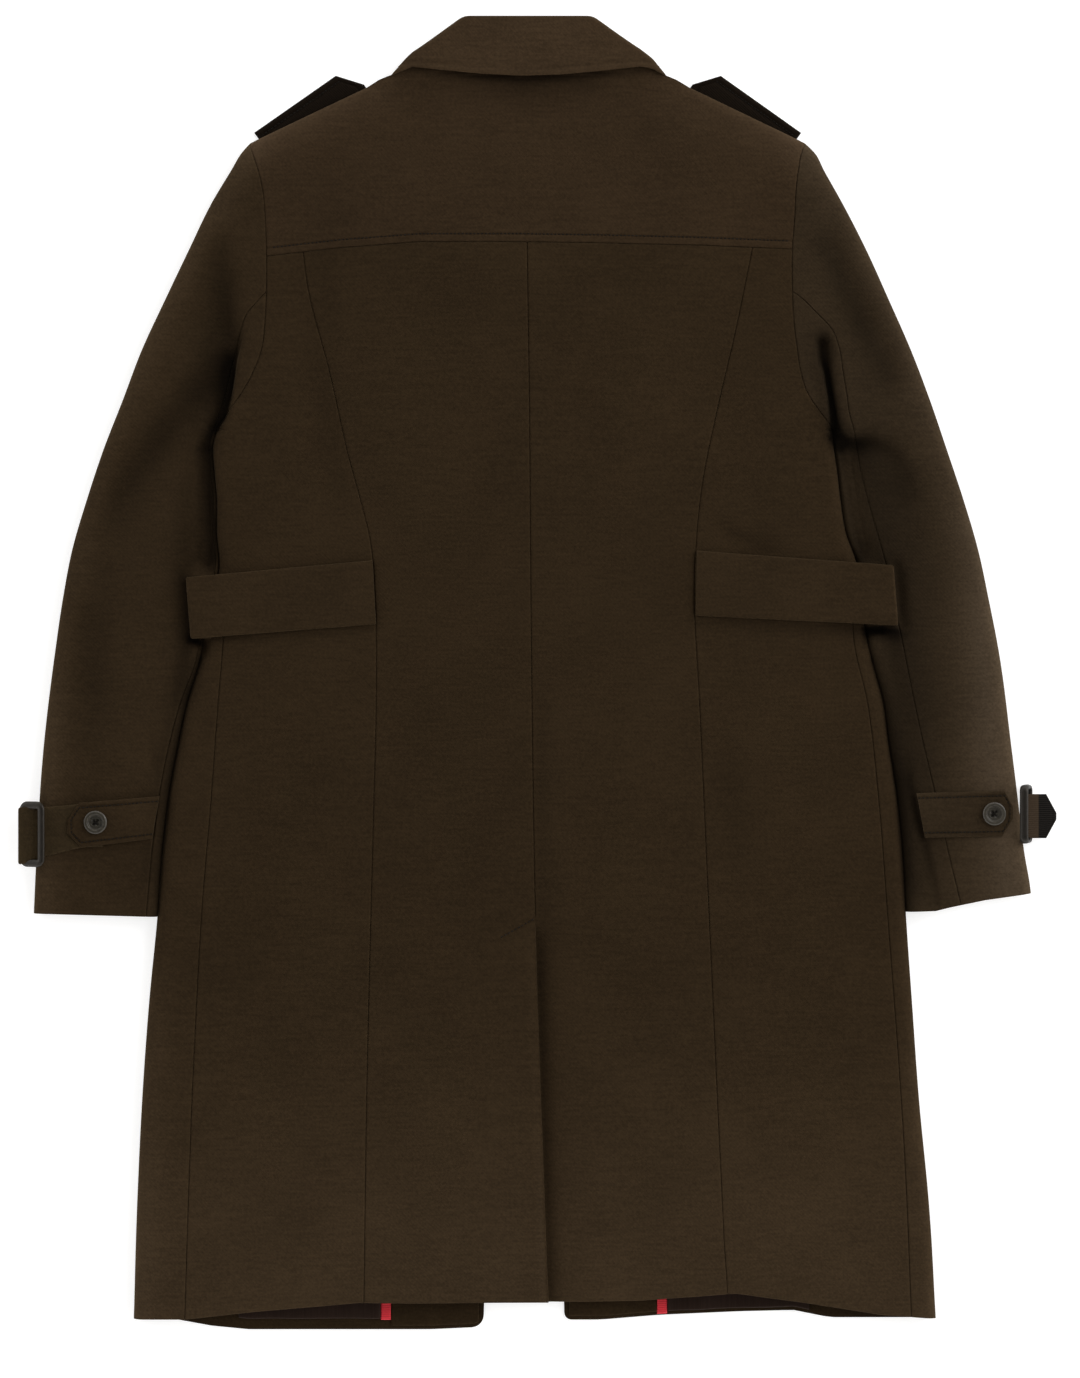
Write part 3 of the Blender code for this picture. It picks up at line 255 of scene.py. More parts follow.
# Painted shade and painted highlight in the cloth's colour: darker where shade falls in hollows, creases and
# slits, under the belts and under the collar, and paler on rims that catch the light. Paths of x, y, share of
# the colour that is lost (below nought where it is painted paler), half width to the left and half width to
# the right.
PAINTED_SHADE_PATHS = {
    "left outer edge": ((-240, 440, -0.5, 16, 16), (-311, 309, -0.55, 14, 14), (-362, 185, -0.4, 14, 14),
        (-396, 60, -0.35, 14, 14), (-412, -64, -0.65, 18, 18), (-420, -200, -0.6, 20, 20)),
    "left shoulder": ((-140, 488, -0.4, 20, 16), (-240, 440, -0.5, 20, 16)),
    "right shoulder": ((122, 488, -0.25, 30, 30), (221, 440, -0.4, 30, 24)),
    "right outer edge": ((221, 440, -0.4, 18, 20), (272, 351, -0.4, 18, 18), (309, 268, -0.5, 18, 18),
        (339, 185, -0.45, 18, 18), (365, 102, -0.95, 22, 22), (382, 19, -1.3, 30, 30),
        (393, -64, -1.4, 36, 36), (409, -200, -1.3, 36, 36)),
    "left skirt edge": ((-319, -215, -0.1, 20, 20), (-326, -290, -0.4, 20, 20),
        (-337, -530, -0.35, 20, 20)),
    "right skirt edge": ((305, -205, -0.1, 16, 16), (316, -355, -0.25, 16, 16), (330, -530, -0.15, 16, 16)),
    "under the collar": ((-95, 498, 0.05, 4, 14), (-50, 494, 0.3, 4, 18), (-16, 492, 0.38, 4, 20),
        (30, 493, 0.3, 4, 18), (80, 499, 0.05, 4, 14)),
    "left of the yoke": ((-160, 445, 0, 22, 22), (-170, 405, 0.12, 22, 22), (-180, 340, 0.12, 18, 18),
        (-182, 250, 0.13, 13, 13), (-166, 150, 0.08, 12, 12), (-160, 110, 0, 12, 12)),
    "left armhole": ((-262, 380, 0, 10, 16), (-264, 348, 0.36, 11, 16), (-263, 310, 0.46, 12, 18),
        (-262, 278, 0.5, 12, 20), (-265, 245, 0.55, 12, 22), (-271, 212, 0.42, 10, 18),
        (-277, 190, 0.2, 8, 14)),
    "left arm": ((-270, 255, 0.1, 16, 16), (-292, 230, 0.36, 16, 16), (-314, 198, 0.44, 16, 16),
        (-338, 163, 0.3, 17, 17), (-353, 136, 0.24, 18, 18), (-372, 100, 0, 18, 18)),
    "left under arm": ((-284, 195, 0.1, 8, 14), (-288, 150, 0.3, 12, 14), (-290, 110, 0.35, 12, 14),
        (-294, 78, 0.4, 8, 12), (-292, 20, 0.42, 10, 10), (-296, -10, 0.46, 10, 10),
        (-302, -40, 0.3, 8, 10), (-314, -110, 0.26, 6, 12), (-320, -165, 0.25, 6, 12),
        (-324, -195, 0, 6, 12)),
    "left forearm": ((-370, 80, 0, 16, 16), (-372, 40, 0.22, 16, 16), (-372, -10, 0.2, 16, 16),
        (-372, -80, 0, 16, 16)),
    "right arm": ((236, 385, 0, 12, 12), (241, 350, 0.36, 14, 13), (252, 318, 0.4, 14, 13),
        (268, 288, 0.5, 14, 14), (288, 252, 0.36, 14, 14), (302, 225, 0, 14, 14)),
    "right armhole": ((228, 300, 0, 8, 10), (234, 272, 0.3, 10, 14), (240, 240, 0.44, 9, 12),
        (246, 205, 0.5, 9, 12), (250, 180, 0.2, 9, 9)),
    "right under arm": ((252, 190, 0.3, 14, 6), (266, 186, 0.5, 16, 8), (276, 150, 0.4, 26, 8),
        (284, 105, 0.44, 30, 10), (293, 50, 0.42, 32, 12), (298, 0, 0.46, 32, 12), (302, -60, 0.45, 32, 12),
        (306, -120, 0.42, 30, 10), (310, -165, 0.3, 26, 8), (314, -198, 0, 20, 6)),
    "right elbow": ((288, 178, 0.05, 16, 16), (302, 150, 0.2, 18, 18), (312, 115, 0.12, 18, 18),
        (316, 80, 0, 18, 18)),
    "left armpit": ((-248.6, 273.5, 0.25, 2, 9), (-252.3, 259.4, 0.55, 2, 10), (-254, 243.6, 0.65, 2, 10),
        (-256.5, 227.8, 0.68, 2, 9), (-261, 212, 0.68, 2, 8), (-268, 202, 0.6, 2.5, 7),
        (-272, 196, 0.3, 3, 6)),
    "left slit": ((-272, 198, 0.3, 2.5, 6), (-273, 185, 0.72, 2.5, 10), (-271, 150, 0.72, 2.5, 10),
        (-270, 115, 0.7, 2.5, 10), (-269, 94, 0.75, 2.5, 12)),
    "left belt end": ((-293, 78, 0.2, 2, 8), (-289, 28, 0.24, 2, 8)),
    "left belt corner": ((-285, 26, 0.4, 4, 4), (-277, 22, 0.45, 4, 4), (-281, 5, 0.2, 3, 3)),
    "left cuff slit": ((-281, 10, 0.4, 2, 4), (-293, -25, 0.4, 2, 4), (-307, -98, 0.45, 2, 5),
        (-317, -200, 0.45, 2, 5)),
    "right armpit": ((235.5, 279, 0.3, 6, 6), (235.5, 273, 0.5, 6, 6), (236, 262, 0.5, 5.5, 5.5),
        (238.5, 250, 0.55, 3.5, 3.5), (242, 230, 0.6, 3, 3), (244, 214, 0.6, 3.5, 3.5),
        (245.5, 198, 0.6, 5, 5), (247, 188, 0.3, 5, 5)),
    "right drag": ((246, 195, 0.4, 3, 8), (260, 192, 0.36, 4, 10), (276, 192, 0.34, 5, 11),
        (287, 188, 0.32, 6, 12), (295, 181, 0.28, 7, 13), (303, 165, 0.18, 8, 14), (310, 125, 0, 9, 14)),
    "right slit": ((247, 192, 0.3, 8, 2.5), (251, 160, 0.3, 8, 2.5), (258, 125, 0.35, 8, 2.5),
        (264, 104, 0.5, 8, 3), (266, 94, 0.6, 9, 3)),
    "right belt corner": ((283, 36, 0.6, 4, 4), (273, 34, 0.6, 5, 5), (270, 24, 0.3, 3, 3)),
    "right cuff slit": ((276, 10, 0.35, 6, 2), (286, -23, 0.35, 7, 2), (297, -98, 0.4, 8, 2),
        (305, -200, 0.45, 9, 2)),
    "below the left belt": ((-135, 37, 0.16, 3, 6), (-286, 25, 0.28, 3, 7)),
    "below the right belt": ((130, 44, 0.14, 3, 6), (215, 40, 0.34, 3, 8), (295, 35, 0.5, 3, 9)),
    "right waist": ((140, 132, 0, 8, 8), (160, 116, 0.18, 8, 8), (186, 106, 0.24, 8, 8),
        (206, 100, 0, 8, 8)),
    "right of the centre": ((-1, 20, 0, 12, 3), (0, -40, 0.15, 12, 3), (1, -190, 0.16, 12, 3),
        (5, -260, 0.1, 12, 2), (8, -520, 0.1, 12, 2)),
    "right cuff": ((304, -72, 0, 3, 5), (308, -92, 0.22, 3, 5), (314, -116, 0.24, 3, 5),
        (321, -142, 0.24, 3, 5), (331, -190, 0.2, 3, 5)),
    "vent": ((-3, -203, 0.15, 5, 1), (-1, -250, 0.42, 6, 1), (8, -525, 0.42, 6, 1)),
    "vent edge": ((-7, -215, -0.1, 2, 3), (4, -525, -0.2, 2, 3)),
    "collar line": ((-108, 501, 0.2, 1, 3), (-49, 495.3, 0.45, 1, 3.5), (-16, 493.5, 0.45, 1, 3.5),
        (17, 494.5, 0.45, 1, 3.5), (51, 497.5, 0.45, 1, 3.5), (99, 501, 0.2, 1, 3)),
    "right hip": ((148, -40, 0, 14, 14), (162, -90, 0.16, 14, 14), (166, -150, 0.12, 14, 14),
        (166, -200, 0, 14, 14)),
}


def along(line, at):
    """Values of a line at stations: a cubic between its points with slopes from its neighbours."""
    stations, values = np.array(sorted(line), float).T
    slopes = np.gradient(values, stations)
    at = np.clip(at, stations[0], stations[-1])
    k = np.clip(np.searchsorted(stations, at) - 1, 0, len(stations) - 2)
    step = stations[k + 1] - stations[k]
    t = (at - stations[k]) / step
    rise = values[k + 1] - values[k]
    a = slopes[k] * step - rise
    b = rise - slopes[k + 1] * step
    return values[k] + rise * t + t * (1 - t) * (a * (1 - t) + b * t)


def straight(line, at):
    """Values of a line at stations, straight from point to point."""
    stations, values = np.array(sorted(line), float).T
    return np.interp(at, stations, values)


def ease(t):
    """Smooth step from 0 to 1: three times the square less twice the cube."""
    t = np.clip(t, 0, 1)
    return t * t * (3 - 2 * t)


def roundness(inside, reach):
    """Quarter of an ellipse: 0 at an edge, 1 once the point is a reach inside it."""
    return np.sqrt(np.maximum(0, 1 - (1 - np.clip(inside, 0, reach) / reach) ** 2))


def inset(x, y, line):
    """Way in plan to a line: the way across at the row, by the line's slope, and the way past its ends."""
    low, high = min(p[0] for p in line), max(p[0] for p in line)
    at = np.clip(y, low, high)
    slope = (along(line, at + 1) - along(line, at - 1)) / 2
    return np.hypot(np.abs(x - along(line, at)) / np.hypot(1, slope), y - at)


SHOULDERS = [LINES[name]["neck"][-2:] for name in LINES]
OUTLINE = SHOULDERS + [LINES[name][part] for name in LINES for part in ("out", "slit", "body")]


def nearest(x, y, lines):
    """Shortest way in plan from points to any of the lines."""
    return np.min([inset(x, y, line) for line in lines], axis=0)


def fold_rise(x, y, folds):
    """Rise of folds: across the nearest run of a path the section is a bell with two half widths.

    Depth and half widths ease from point to point, and one half width passes into the other over the path.
    """
    total = np.zeros(np.broadcast(x, y).shape)
    for path in folds.values():
        fall, least = np.zeros(total.shape), np.full(total.shape, np.inf)
        for (x0, y0, *sizes), (x1, y1, *next_sizes) in zip(path, path[1:]):
            dx, dy = x1 - x0, y1 - y0
            t = np.clip(((x - x0) * dx + (y - y0) * dy) / (dx ** 2 + dy ** 2), 0, 1)
            depth, left, right = (a + (b - a) * ease(t) for a, b in zip(sizes, next_sizes))
            aside = (dx * (y - y0) - dy * (x - x0)) / math.hypot(dx, dy)
            half = right + (left - right) * ease(0.5 + aside / SIDE_BLEND)
            away = np.hypot(x - x0 - t * dx, y - y0 - t * dy)
            fall = np.where(away < least, depth * np.exp(-(away / half) ** 2), fall)
            least = np.minimum(least, away)
        total = total - fall
    return total


def painted_shading_at(x, y, z):
    """Painted shade and highlight on the upper face: 1 less the shares of the shade paths, painted paler
    towards the hem, and even (1) underneath.
    """
    hem_light = HEM_LIGHT * ease((HEM_LIGHT_FROM - y) / HEM_LIGHT_OVER)
    tone = np.clip(1 + hem_light + fold_rise(x, y, PAINTED_SHADE_PATHS), *PAINTED_SHADING_LIMITS)
    return np.where(z > middle(y), tone, 1.0)


def plateau(x, y):
    """Height of the back away from edges and creases: swells, and two crossed waves of slow unevenness."""
    (across, sway, sway_long), (down, swing, swing_long) = WAVES
    wave_x = np.sin(x / across + sway * np.sin(y / sway_long))
    wave_y = np.sin(y / down + swing * np.sin(x / swing_long))
    return along(HEIGHT, y) + UNEVEN * wave_x * wave_y + fold_rise(x, y, SWELLS)


def middle(y):
    """Height where the two layers meet."""
    return along(HEIGHT, y) / 2


def top_layer(x, y, wall=0.0):
    """Height of the back's upper face, or of the face a wall's thickness inside it."""
    level = middle(y) + SEAM
    rise = np.maximum(plateau(x, y) + fold_rise(x, y, CREASES) - level, CLOTH + GAP)
    return level + (rise - wall) * roundness(nearest(x, y, OUTLINE) - wall, FOLD_REACH - wall)


def bottom_layer(x, y, wall=0.0):
    """Height of the fronts' lower face, or of the face a wall's thickness inside it."""
    near, far = LIFT_REACH
    lift = LIFT * (1 - ease((nearest(x, y, SHOULDERS) - near) / (far - near)))
    level = middle(y) - SEAM
    return level - (level - lift - wall) * roundness(nearest(x, y, OUTLINE) - wall, FOLD_REACH - wall)


def columns(start, end, count, near=SEAM_STEPS, far=SEAM_STEPS):
    """Stations from start to end in each row: fixed steps beside each edge and even ones between.

    A row that is too narrow for its edge steps squeezes them to a share of its width.
    """
    start, end = np.atleast_1d(start)[:, None], np.atleast_1d(end)[:, None]
    near = np.broadcast_to(near, (len(start), np.shape(near)[-1]))
    far = np.broadcast_to(far, (len(start), np.shape(far)[-1]))
    way = end - start
    squeeze = np.minimum(1, NARROWEST * np.abs(way) / np.maximum(near[:, -1:] + far[:, -1:], 1e-6))
    head = start + np.sign(way) * near * squeeze
    tail = (end - np.sign(way) * far * squeeze)[:, ::-1]
    share = np.linspace(0, 1, count + 2)[1:-1]
    return np.hstack((head, head[:, -1:] + (tail[:, :1] - head[:, -1:]) * share, tail))


def rolled(away, depth=1.4, reach=1.6):
    """Fall of a seam's edge as it rolls into the seam: a quarter round over the reach."""
    return depth * (1 - roundness(np.abs(away), reach))


def shifted(x, y, line, row, reach):
    """Rows near an edge moved along y so that the edge's own row lies on a line across the coat."""
    return y + (straight(line, x) - row) * ease(1 - np.abs(y - row) / reach)


def grid_points(x, y, z):
    """Points of a grid from its three coordinates."""
    return np.stack(np.broadcast_arrays(x, y, z), -1)


def make_mesh(name, points, faces, finish, uv=None, tone=None):
    """A mesh piece at the origin from points in millimetres and faces of equal corner count, turned outwards.

    The faces are reversed where the enclosed volume, the sum of the corner products, is negative.
    """
    used, faces_used = np.unique(faces, return_inverse=True)
    faces = faces_used.reshape(faces.shape)
    points = points[used] * MM
    a, b, c = (points[faces[:, k]] for k in (0, 1, 2))
    d = points[faces[:, -1]]
    volume = (a * np.cross(b, c)).sum() + (a * np.cross(c, d)).sum()
    if volume < 0:
        faces = faces[:, ::-1]
    mesh = bpy.data.meshes.new(name)
    mesh.from_pydata(points.tolist(), [], faces.tolist())
    layer = mesh.uv_layers.new(name="cloth")
    uv = points[:, :2] if uv is None else uv[used] * MM
    layer.data.foreach_set("uv", uv[faces.ravel()].astype(np.float32).ravel())
    # a second UV layer carries the painted shade and highlight: the share of the colour kept at each point
    if tone is not None:
        layer = mesh.uv_layers.new(name="tone")
        layer.data.foreach_set("uv", np.repeat(tone[used][faces.ravel()], 2).astype(np.float32))
    mesh.shade_smooth()
    mesh.set_sharp_from_angle(angle=math.radians(SHARP_ANGLE))
    mesh.materials.append(finish)
    piece = bpy.data.objects.new(name, mesh)
    bpy.context.scene.collection.objects.link(piece)
    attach(piece, "root")
    return piece


def shell(name, outer, inner, finish, keep=None, no_painted_shading=False):
    """A closed wall between an outer and an inner grid of points.

    Each kept cell gives one face on either grid, and a strip closes every side where the next cell is free.
    """
    rows, across = outer.shape[:2]
    number = np.arange(rows * across).reshape(rows, across)
    corners = np.stack((number[:-1, :-1], number[:-1, 1:], number[1:, 1:], number[1:, :-1]), -1)
    held = np.ones((rows - 1, across - 1), bool) if keep is None else keep
    free = ~np.pad(held, 1)
    inside = rows * across
    faces = [corners[held][:, ::-1], corners[held] + inside]
    for side, p, q in ((free[:-2, 1:-1], 0, 1), (free[1:-1, 2:], 1, 2), (free[2:, 1:-1], 2, 3),
                       (free[1:-1, :-2], 3, 0)):
        edge = corners[held & side]
        faces.append(np.stack((edge[:, p], edge[:, q], edge[:, q] + inside, edge[:, p] + inside), -1))
    run = np.linalg.norm(np.diff(outer, axis=1), axis=2)
    fall = np.linalg.norm(np.diff(outer, axis=0), axis=2)
    u = np.pad(np.cumsum(run, axis=1), ((0, 0), (1, 0)))
    v = np.pad(np.cumsum(fall, axis=0), ((1, 0), (0, 0)))
    uv = np.stack((u, v), -1).reshape(-1, 2)
    points = np.vstack((outer.reshape(-1, 3), inner.reshape(-1, 3)))
    # painted shade and highlight for the upper face, none on pieces drawn without it
    tone = np.ones(len(points)) if no_painted_shading else painted_shading_at(*points.T)
    piece = make_mesh(name, points, np.vstack(faces), finish, np.vstack((uv, uv)), tone)
    a, b, c, d = (outer.reshape(-1, 3)[corners[held][:, k]] for k in range(4))
    area = 0.5 * np.linalg.norm(np.cross(c - a, d - b), axis=1).sum()
    wide = (0.5 * (run[:-1] + run[1:]) * held).sum(axis=1).max()
    long = (0.5 * (fall[:, :-1] + fall[:, 1:]) * held).sum(axis=0).max()
    return piece, (wide * MM, long * MM), area * MM ** 2


def cloth(name, nodes, outer, inner, finish, keep=None, no_painted_shading=False):
    """A sewn piece of cloth that stands for its CAD nodes, which it hides, and lies flat."""
    piece, flat, area = shell(name, outer, inner, finish, keep, no_painted_shading)
    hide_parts(*nodes)
    return piece


def shades(code, *shares):
    """A colour made darker and lighter: its linear value times each share."""
    return [tuple(np.append(np.array(linear(code))[:3] * share, 1)) for share in shares]


def wool(name, code):
    """Milled brown overcoat wool: a close twill under a short nap.

    The milling gives a soft matt face with heathered threads, a faint diagonal and a pale sheen at low
    angles. The threads are about 0.5 mm apart, too fine to show, so they are drawn at 2.2 mm.
    """
    thread, slub_length, cloud = 0.0022, 0.02, 0.07
    material, tree, shader, place = start_material(
        name, {"Roughness": 0.95, "Specular IOR Level": 0.03, "Sheen Weight": 0.18, "Sheen Roughness": 0.3,
               "Sheen Tint": linear("#a8987c")})
    dark, light = shades(code, 0.77, 1.23)
    heather = add(tree, "ShaderNodeTexNoise", inputs={
        "Vector": place, "Scale": 1 / thread, "Detail": 3.0, "Roughness": 0.65})
    weft = add(tree, "ShaderNodeMapping", inputs={
        "Vector": place, "Scale": (1 / slub_length, 1 / thread, 1 / thread)})
    slub = add(tree, "ShaderNodeTexNoise", inputs={
        "Vector": weft.outputs["Vector"], "Scale": 1.0, "Detail": 2.0})
    patches = add(tree, "ShaderNodeTexNoise", inputs={"Vector": place, "Scale": 1 / cloud, "Detail": 2.0})
    threads = add(tree, "ShaderNodeMath", {"operation": "MULTIPLY_ADD"},
                  {0: slub.outputs["Fac"], 1: 0.45, 2: heather.outputs["Fac"]})
    mottle = add(tree, "ShaderNodeMath", {"operation": "MULTIPLY_ADD"},
                 {0: patches.outputs["Fac"], 1: 0.4, 2: threads.outputs[0]})
    share = add(tree, "ShaderNodeMapRange", inputs={
        "Value": mottle.outputs[0], "From Min": 0.72, "From Max": 1.16, "To Min": 0.0, "To Max": 1.0})
    colour = add(tree, "ShaderNodeMix", {"data_type": "RGBA"}, {0: share.outputs[0], 6: dark, 7: light})
    # painted shade and highlight: the colour times the share read from the piece's second UV layer
    painted_shading_layer = add(tree, "ShaderNodeUVMap", {"uv_map": "tone"})
    tone = add(tree, "ShaderNodeSeparateXYZ", inputs={"Vector": painted_shading_layer.outputs["UV"]})
    with_painted_shade = add(tree, "ShaderNodeVectorMath", {"operation": "SCALE"},
                {0: colour.outputs[2], "Scale": tone.outputs["X"]})
    # painted highlight: where that share is above 1 the colour is also made paler and cooler
    rim = add(tree, "ShaderNodeMath", {"operation": "SUBTRACT", "use_clamp": True},
              {0: tone.outputs["X"], 1: 1.0})
    painted_highlight_tint = add(tree, "ShaderNodeMix", {"data_type": "RGBA"},
               {0: rim.outputs[0], 6: (1.0, 1.0, 1.0, 1.0), 7: (1.0, 1.06, 1.22, 1.0)})
    with_painted_highlight = add(tree, "ShaderNodeVectorMath", {"operation": "MULTIPLY"},
                     {0: with_painted_shade.outputs[0], 1: painted_highlight_tint.outputs[2]})
    tree.links.new(with_painted_highlight.outputs[0], shader.inputs["Base Color"])
    twill = add(tree, "ShaderNodeTexWave", {"bands_direction": "DIAGONAL"}, {
        "Vector": place, "Scale": SLANT_BANDS / thread, "Distortion": 1.5, "Detail": 1.0,
        "Detail Scale": 2.0})
    nap = add(tree, "ShaderNodeMath", {"operation": "MULTIPLY_ADD"},
              {0: twill.outputs["Fac"], 1: 0.5, 2: heather.outputs["Fac"]})
    bump = add(tree, "ShaderNodeBump", inputs={
        "Strength": 0.35, "Distance": 0.0003, "Height": nap.outputs[0]})
    tree.links.new(bump.outputs["Normal"], shader.inputs["Normal"])
    return material


back_wool = wool("milled brown wool, back", "#2a2014")
# painted light: the yoke's copy of the same wool is drawn lighter than the back's, for the light on the top
# of the coat
yoke_wool_painted_lighter = wool("milled brown wool, yoke, painted lighter", "#2e2317")

COLLAR_AXIS = -9.0
SHOULDER_RUN = 100.0
SHOULDER_REACH = FOLD_REACH / math.sin(math.atan2(SHOULDER_TOP - SHOULDER_TIP, SHOULDER_RUN))
SHOULDER_STEPS = SHOULDER_REACH * FOLD_STEPS / FOLD_REACH
ARMHOLE_STEPS = np.array((0, 0.3, 0.7, 1.2, 2.0, 3.2, 5.0, 7.0, 9.0, 11.5))
YOKE_TOP, YOKE_ROWS, YOKE_ACROSS = 503.0, 50, 52
YOKE_STITCH, YOKE_DENT = 6.6, (0.6, 1.0)
TIP_EASE, ROLL_PAST_TIP = 12.0, 4.0
WALL_EASE, WALL_PAST_TOP, WALL_PAST_TIP = 4.0, 1.0, 2.0
YOKE_STEPS = np.array((0, 0.3, 0.7, 1.2, 2.0, 3.2, 4.6, 5.4, 6.0, 6.6, 7.2, 7.8, 8.6, 10.0))
yoke_y = columns(YOKE_TOP, SEAM_ROW + SEWN, YOKE_ROWS, NO_STEPS, YOKE_STEPS)[0]
on_shoulder = ease((yoke_y - SHOULDER_TIP + TIP_EASE) / TIP_EASE)[:, None]
yoke_far = on_shoulder * SHOULDER_STEPS + (1 - on_shoulder) * ARMHOLE_STEPS
yoke_wall = CLOTH * (np.clip((SHOULDER_TOP + WALL_PAST_TOP - yoke_y) / WALL_EASE, 0, 1)
                     * np.clip((yoke_y - SHOULDER_TIP + WALL_PAST_TIP) / WALL_EASE, 0, 1))
yoke_inner_far = yoke_wall[:, None] + yoke_far * (1 - yoke_wall[:, None] / SHOULDER_REACH)
halves = []
for name, lines in LINES.items():
    limit = np.where(yoke_y > SHOULDER_TIP, straight(lines["neck"], yoke_y),
                     along(lines["armhole"], yoke_y) - lines["sign"] * SEWN)
    halves.append([columns(np.full(yoke_y.shape, COLLAR_AXIS), limit, YOKE_ACROSS, NO_STEPS, far)
                   for far in (yoke_far, yoke_inner_far)])
yoke_outer_x, yoke_inner_x = (np.hstack((halves[0][k][:, :0:-1], halves[1][k])) for k in (0, 1))
yoke_rows = yoke_y[:, None]


def channel(away, inset_by, depth=0.45, half=0.9):
    """Dent of a row of stitching at a distance inside an edge: a bell across the row."""
    return depth * np.exp(-((away - inset_by) / half) ** 2)


def yoke_height(x, y):
    """Upper face of the yoke: the top layer, rolled into the armhole seams and the seam over the back."""
    z = top_layer(x, y) - rolled(y - SEAM_ROW) - channel(y - SEAM_ROW, YOKE_STITCH, *YOKE_DENT)
    for lines in LINES.values():
        z = z - rolled(inset(x, y, lines["armhole"])) * ease((SHOULDER_TIP + ROLL_PAST_TIP - y) / TIP_EASE)
    return z


cloth("yoke_cloth", ["yoke"],
      grid_points(yoke_outer_x, shifted(yoke_outer_x, yoke_rows, YOKE_SEAM, SEAM_ROW, EDGE_REACH),
                  yoke_height(yoke_outer_x, yoke_rows)),
      grid_points(yoke_inner_x, shifted(yoke_inner_x, yoke_rows, YOKE_SEAM, SEAM_ROW, EDGE_REACH),
                  top_layer(yoke_inner_x, yoke_rows, CLOTH)),
      yoke_wool_painted_lighter)

# Fronts
# The two front panels of the same wool. They lie under the coat from their front edges, turn round the side
# folds and end at the side seams on the back. Their hems are turned up and show below the back's hem.
HEM_BACK = ((-340, -537), (-294, -537), (-232, -530), (-149, -522), (-99, -523), (8, -523), (84, -521),
            (163, -514), (217, -522), (283, -533), (335, -537))
HEM_FRONT = {"left": ((-340, -537), (-306, -538), (-273, -544), (-242, -547), (-90, -547), (-46, -545)),
             "right": ((21, -539), (51, -539), (100, -535), (167, -532), (212, -531), (242, -537),
                       (335, -537))}
FRONT_ROWS, FRONT_ACROSS, SIDE_ACROSS = 230, 34, 8
SIDE_FROM, SIDE_OVER = 70.0, 40.0
HEM_CORNER = {"left": 10.0, "right": 6.0}
HEM_STEPS = np.array((0, 0.4, 0.9, 1.6, 2.6, 4.0))
FRONT_EDGE_STEPS = np.array((0, 0.5, 1.2, 2.2, 3.5, 5.0, 7.0, 10.0))


def hem_front(name, x):
    """Lower edge of a front: its line, lifted at the front corner by a quarter round."""
    edge = along(LINES[name]["edge"], HEM_ROW)
    radius = HEM_CORNER[name]
    short = np.maximum(radius - np.abs(x - edge), 0)
    return straight(HEM_FRONT[name], x) + radius - np.sqrt(radius ** 2 - short ** 2)


def side_shows(y):
    """How far the side seam shows: not above the half belts, where it lies in the body's own fold."""
    return ease((SIDE_FROM - y) / SIDE_OVER)


for name, lines in LINES.items():
    sign = lines["sign"]
    y = np.unique(np.append(columns(SHOULDER_TOP, HEM_ROW, FRONT_ROWS, NO_STEPS, HEM_STEPS)[0],
                            (SHOULDER_TIP, ARMPIT)))[::-1]
    outer_end = np.select([y > SHOULDER_TIP, y > ARMPIT],
                          [straight(lines["neck"], y), along(lines["armhole"], y) - sign * SEWN],
                          along(lines["body"], y))
    shoulder = (y > SHOULDER_TIP)[:, None]
    fold_out = np.where(shoulder, SHOULDER_STEPS, FOLD_STEPS)
    fold_in = np.where(((y <= SHOULDER_TIP) & (y > ARMPIT))[:, None], FOLD_STEPS,
                       np.where(shoulder, CLOTH + SHOULDER_STEPS * (1 - CLOTH / SHOULDER_REACH), FOLD_WALL))
    start = along(lines["edge"], y)
    lower_out = columns(start, outer_end, FRONT_ACROSS, FRONT_EDGE_STEPS, fold_out)
    lower_in = columns(start, outer_end, FRONT_ACROSS, FRONT_EDGE_STEPS, fold_in)
    side_seam = along(lines["side"], y) + sign * SEWN
    upper_out = columns(side_seam, outer_end, SIDE_ACROSS, SEAM_STEPS, FOLD_STEPS)[:, -2::-1]
    upper_in = columns(side_seam, outer_end, SIDE_ACROSS, SEAM_STEPS, FOLD_WALL)[:, -2::-1]
    turn = lower_out.shape[1]
    rows = y[:, None]
    seam_roll = rolled(upper_out - side_seam[:, None]) * side_shows(rows)
    outer_z = np.hstack((bottom_layer(lower_out, rows) + rolled(lower_out - start[:, None]),
                         top_layer(upper_out, rows) - seam_roll))
    outer_z[:, turn:] -= rolled(rows - HEM_ROW, *HEM_ROLL)
    inner_z = np.hstack((bottom_layer(lower_in, rows, CLOTH), top_layer(upper_in, rows, CLOTH)))
    both = []
    for x, z in ((np.hstack((lower_out, upper_out)), outer_z), (np.hstack((lower_in, upper_in)), inner_z)):
        weight = ease(1 - np.abs(rows - HEM_ROW) / EDGE_REACH)
        hem = np.hstack((hem_front(name, x[:, :turn]), straight(HEM_BACK, x[:, turn:])))
        both.append(grid_points(x, rows + (hem - HEM_ROW) * weight, z))
    keep = np.ones((len(y) - 1, both[0].shape[1] - 1), bool)
    keep[:np.searchsorted(-y, -ARMPIT), turn - 1:] = False
    cloth(f"front_{name}_cloth", [f"front_{name}"], both[0], both[1], back_wool, keep)

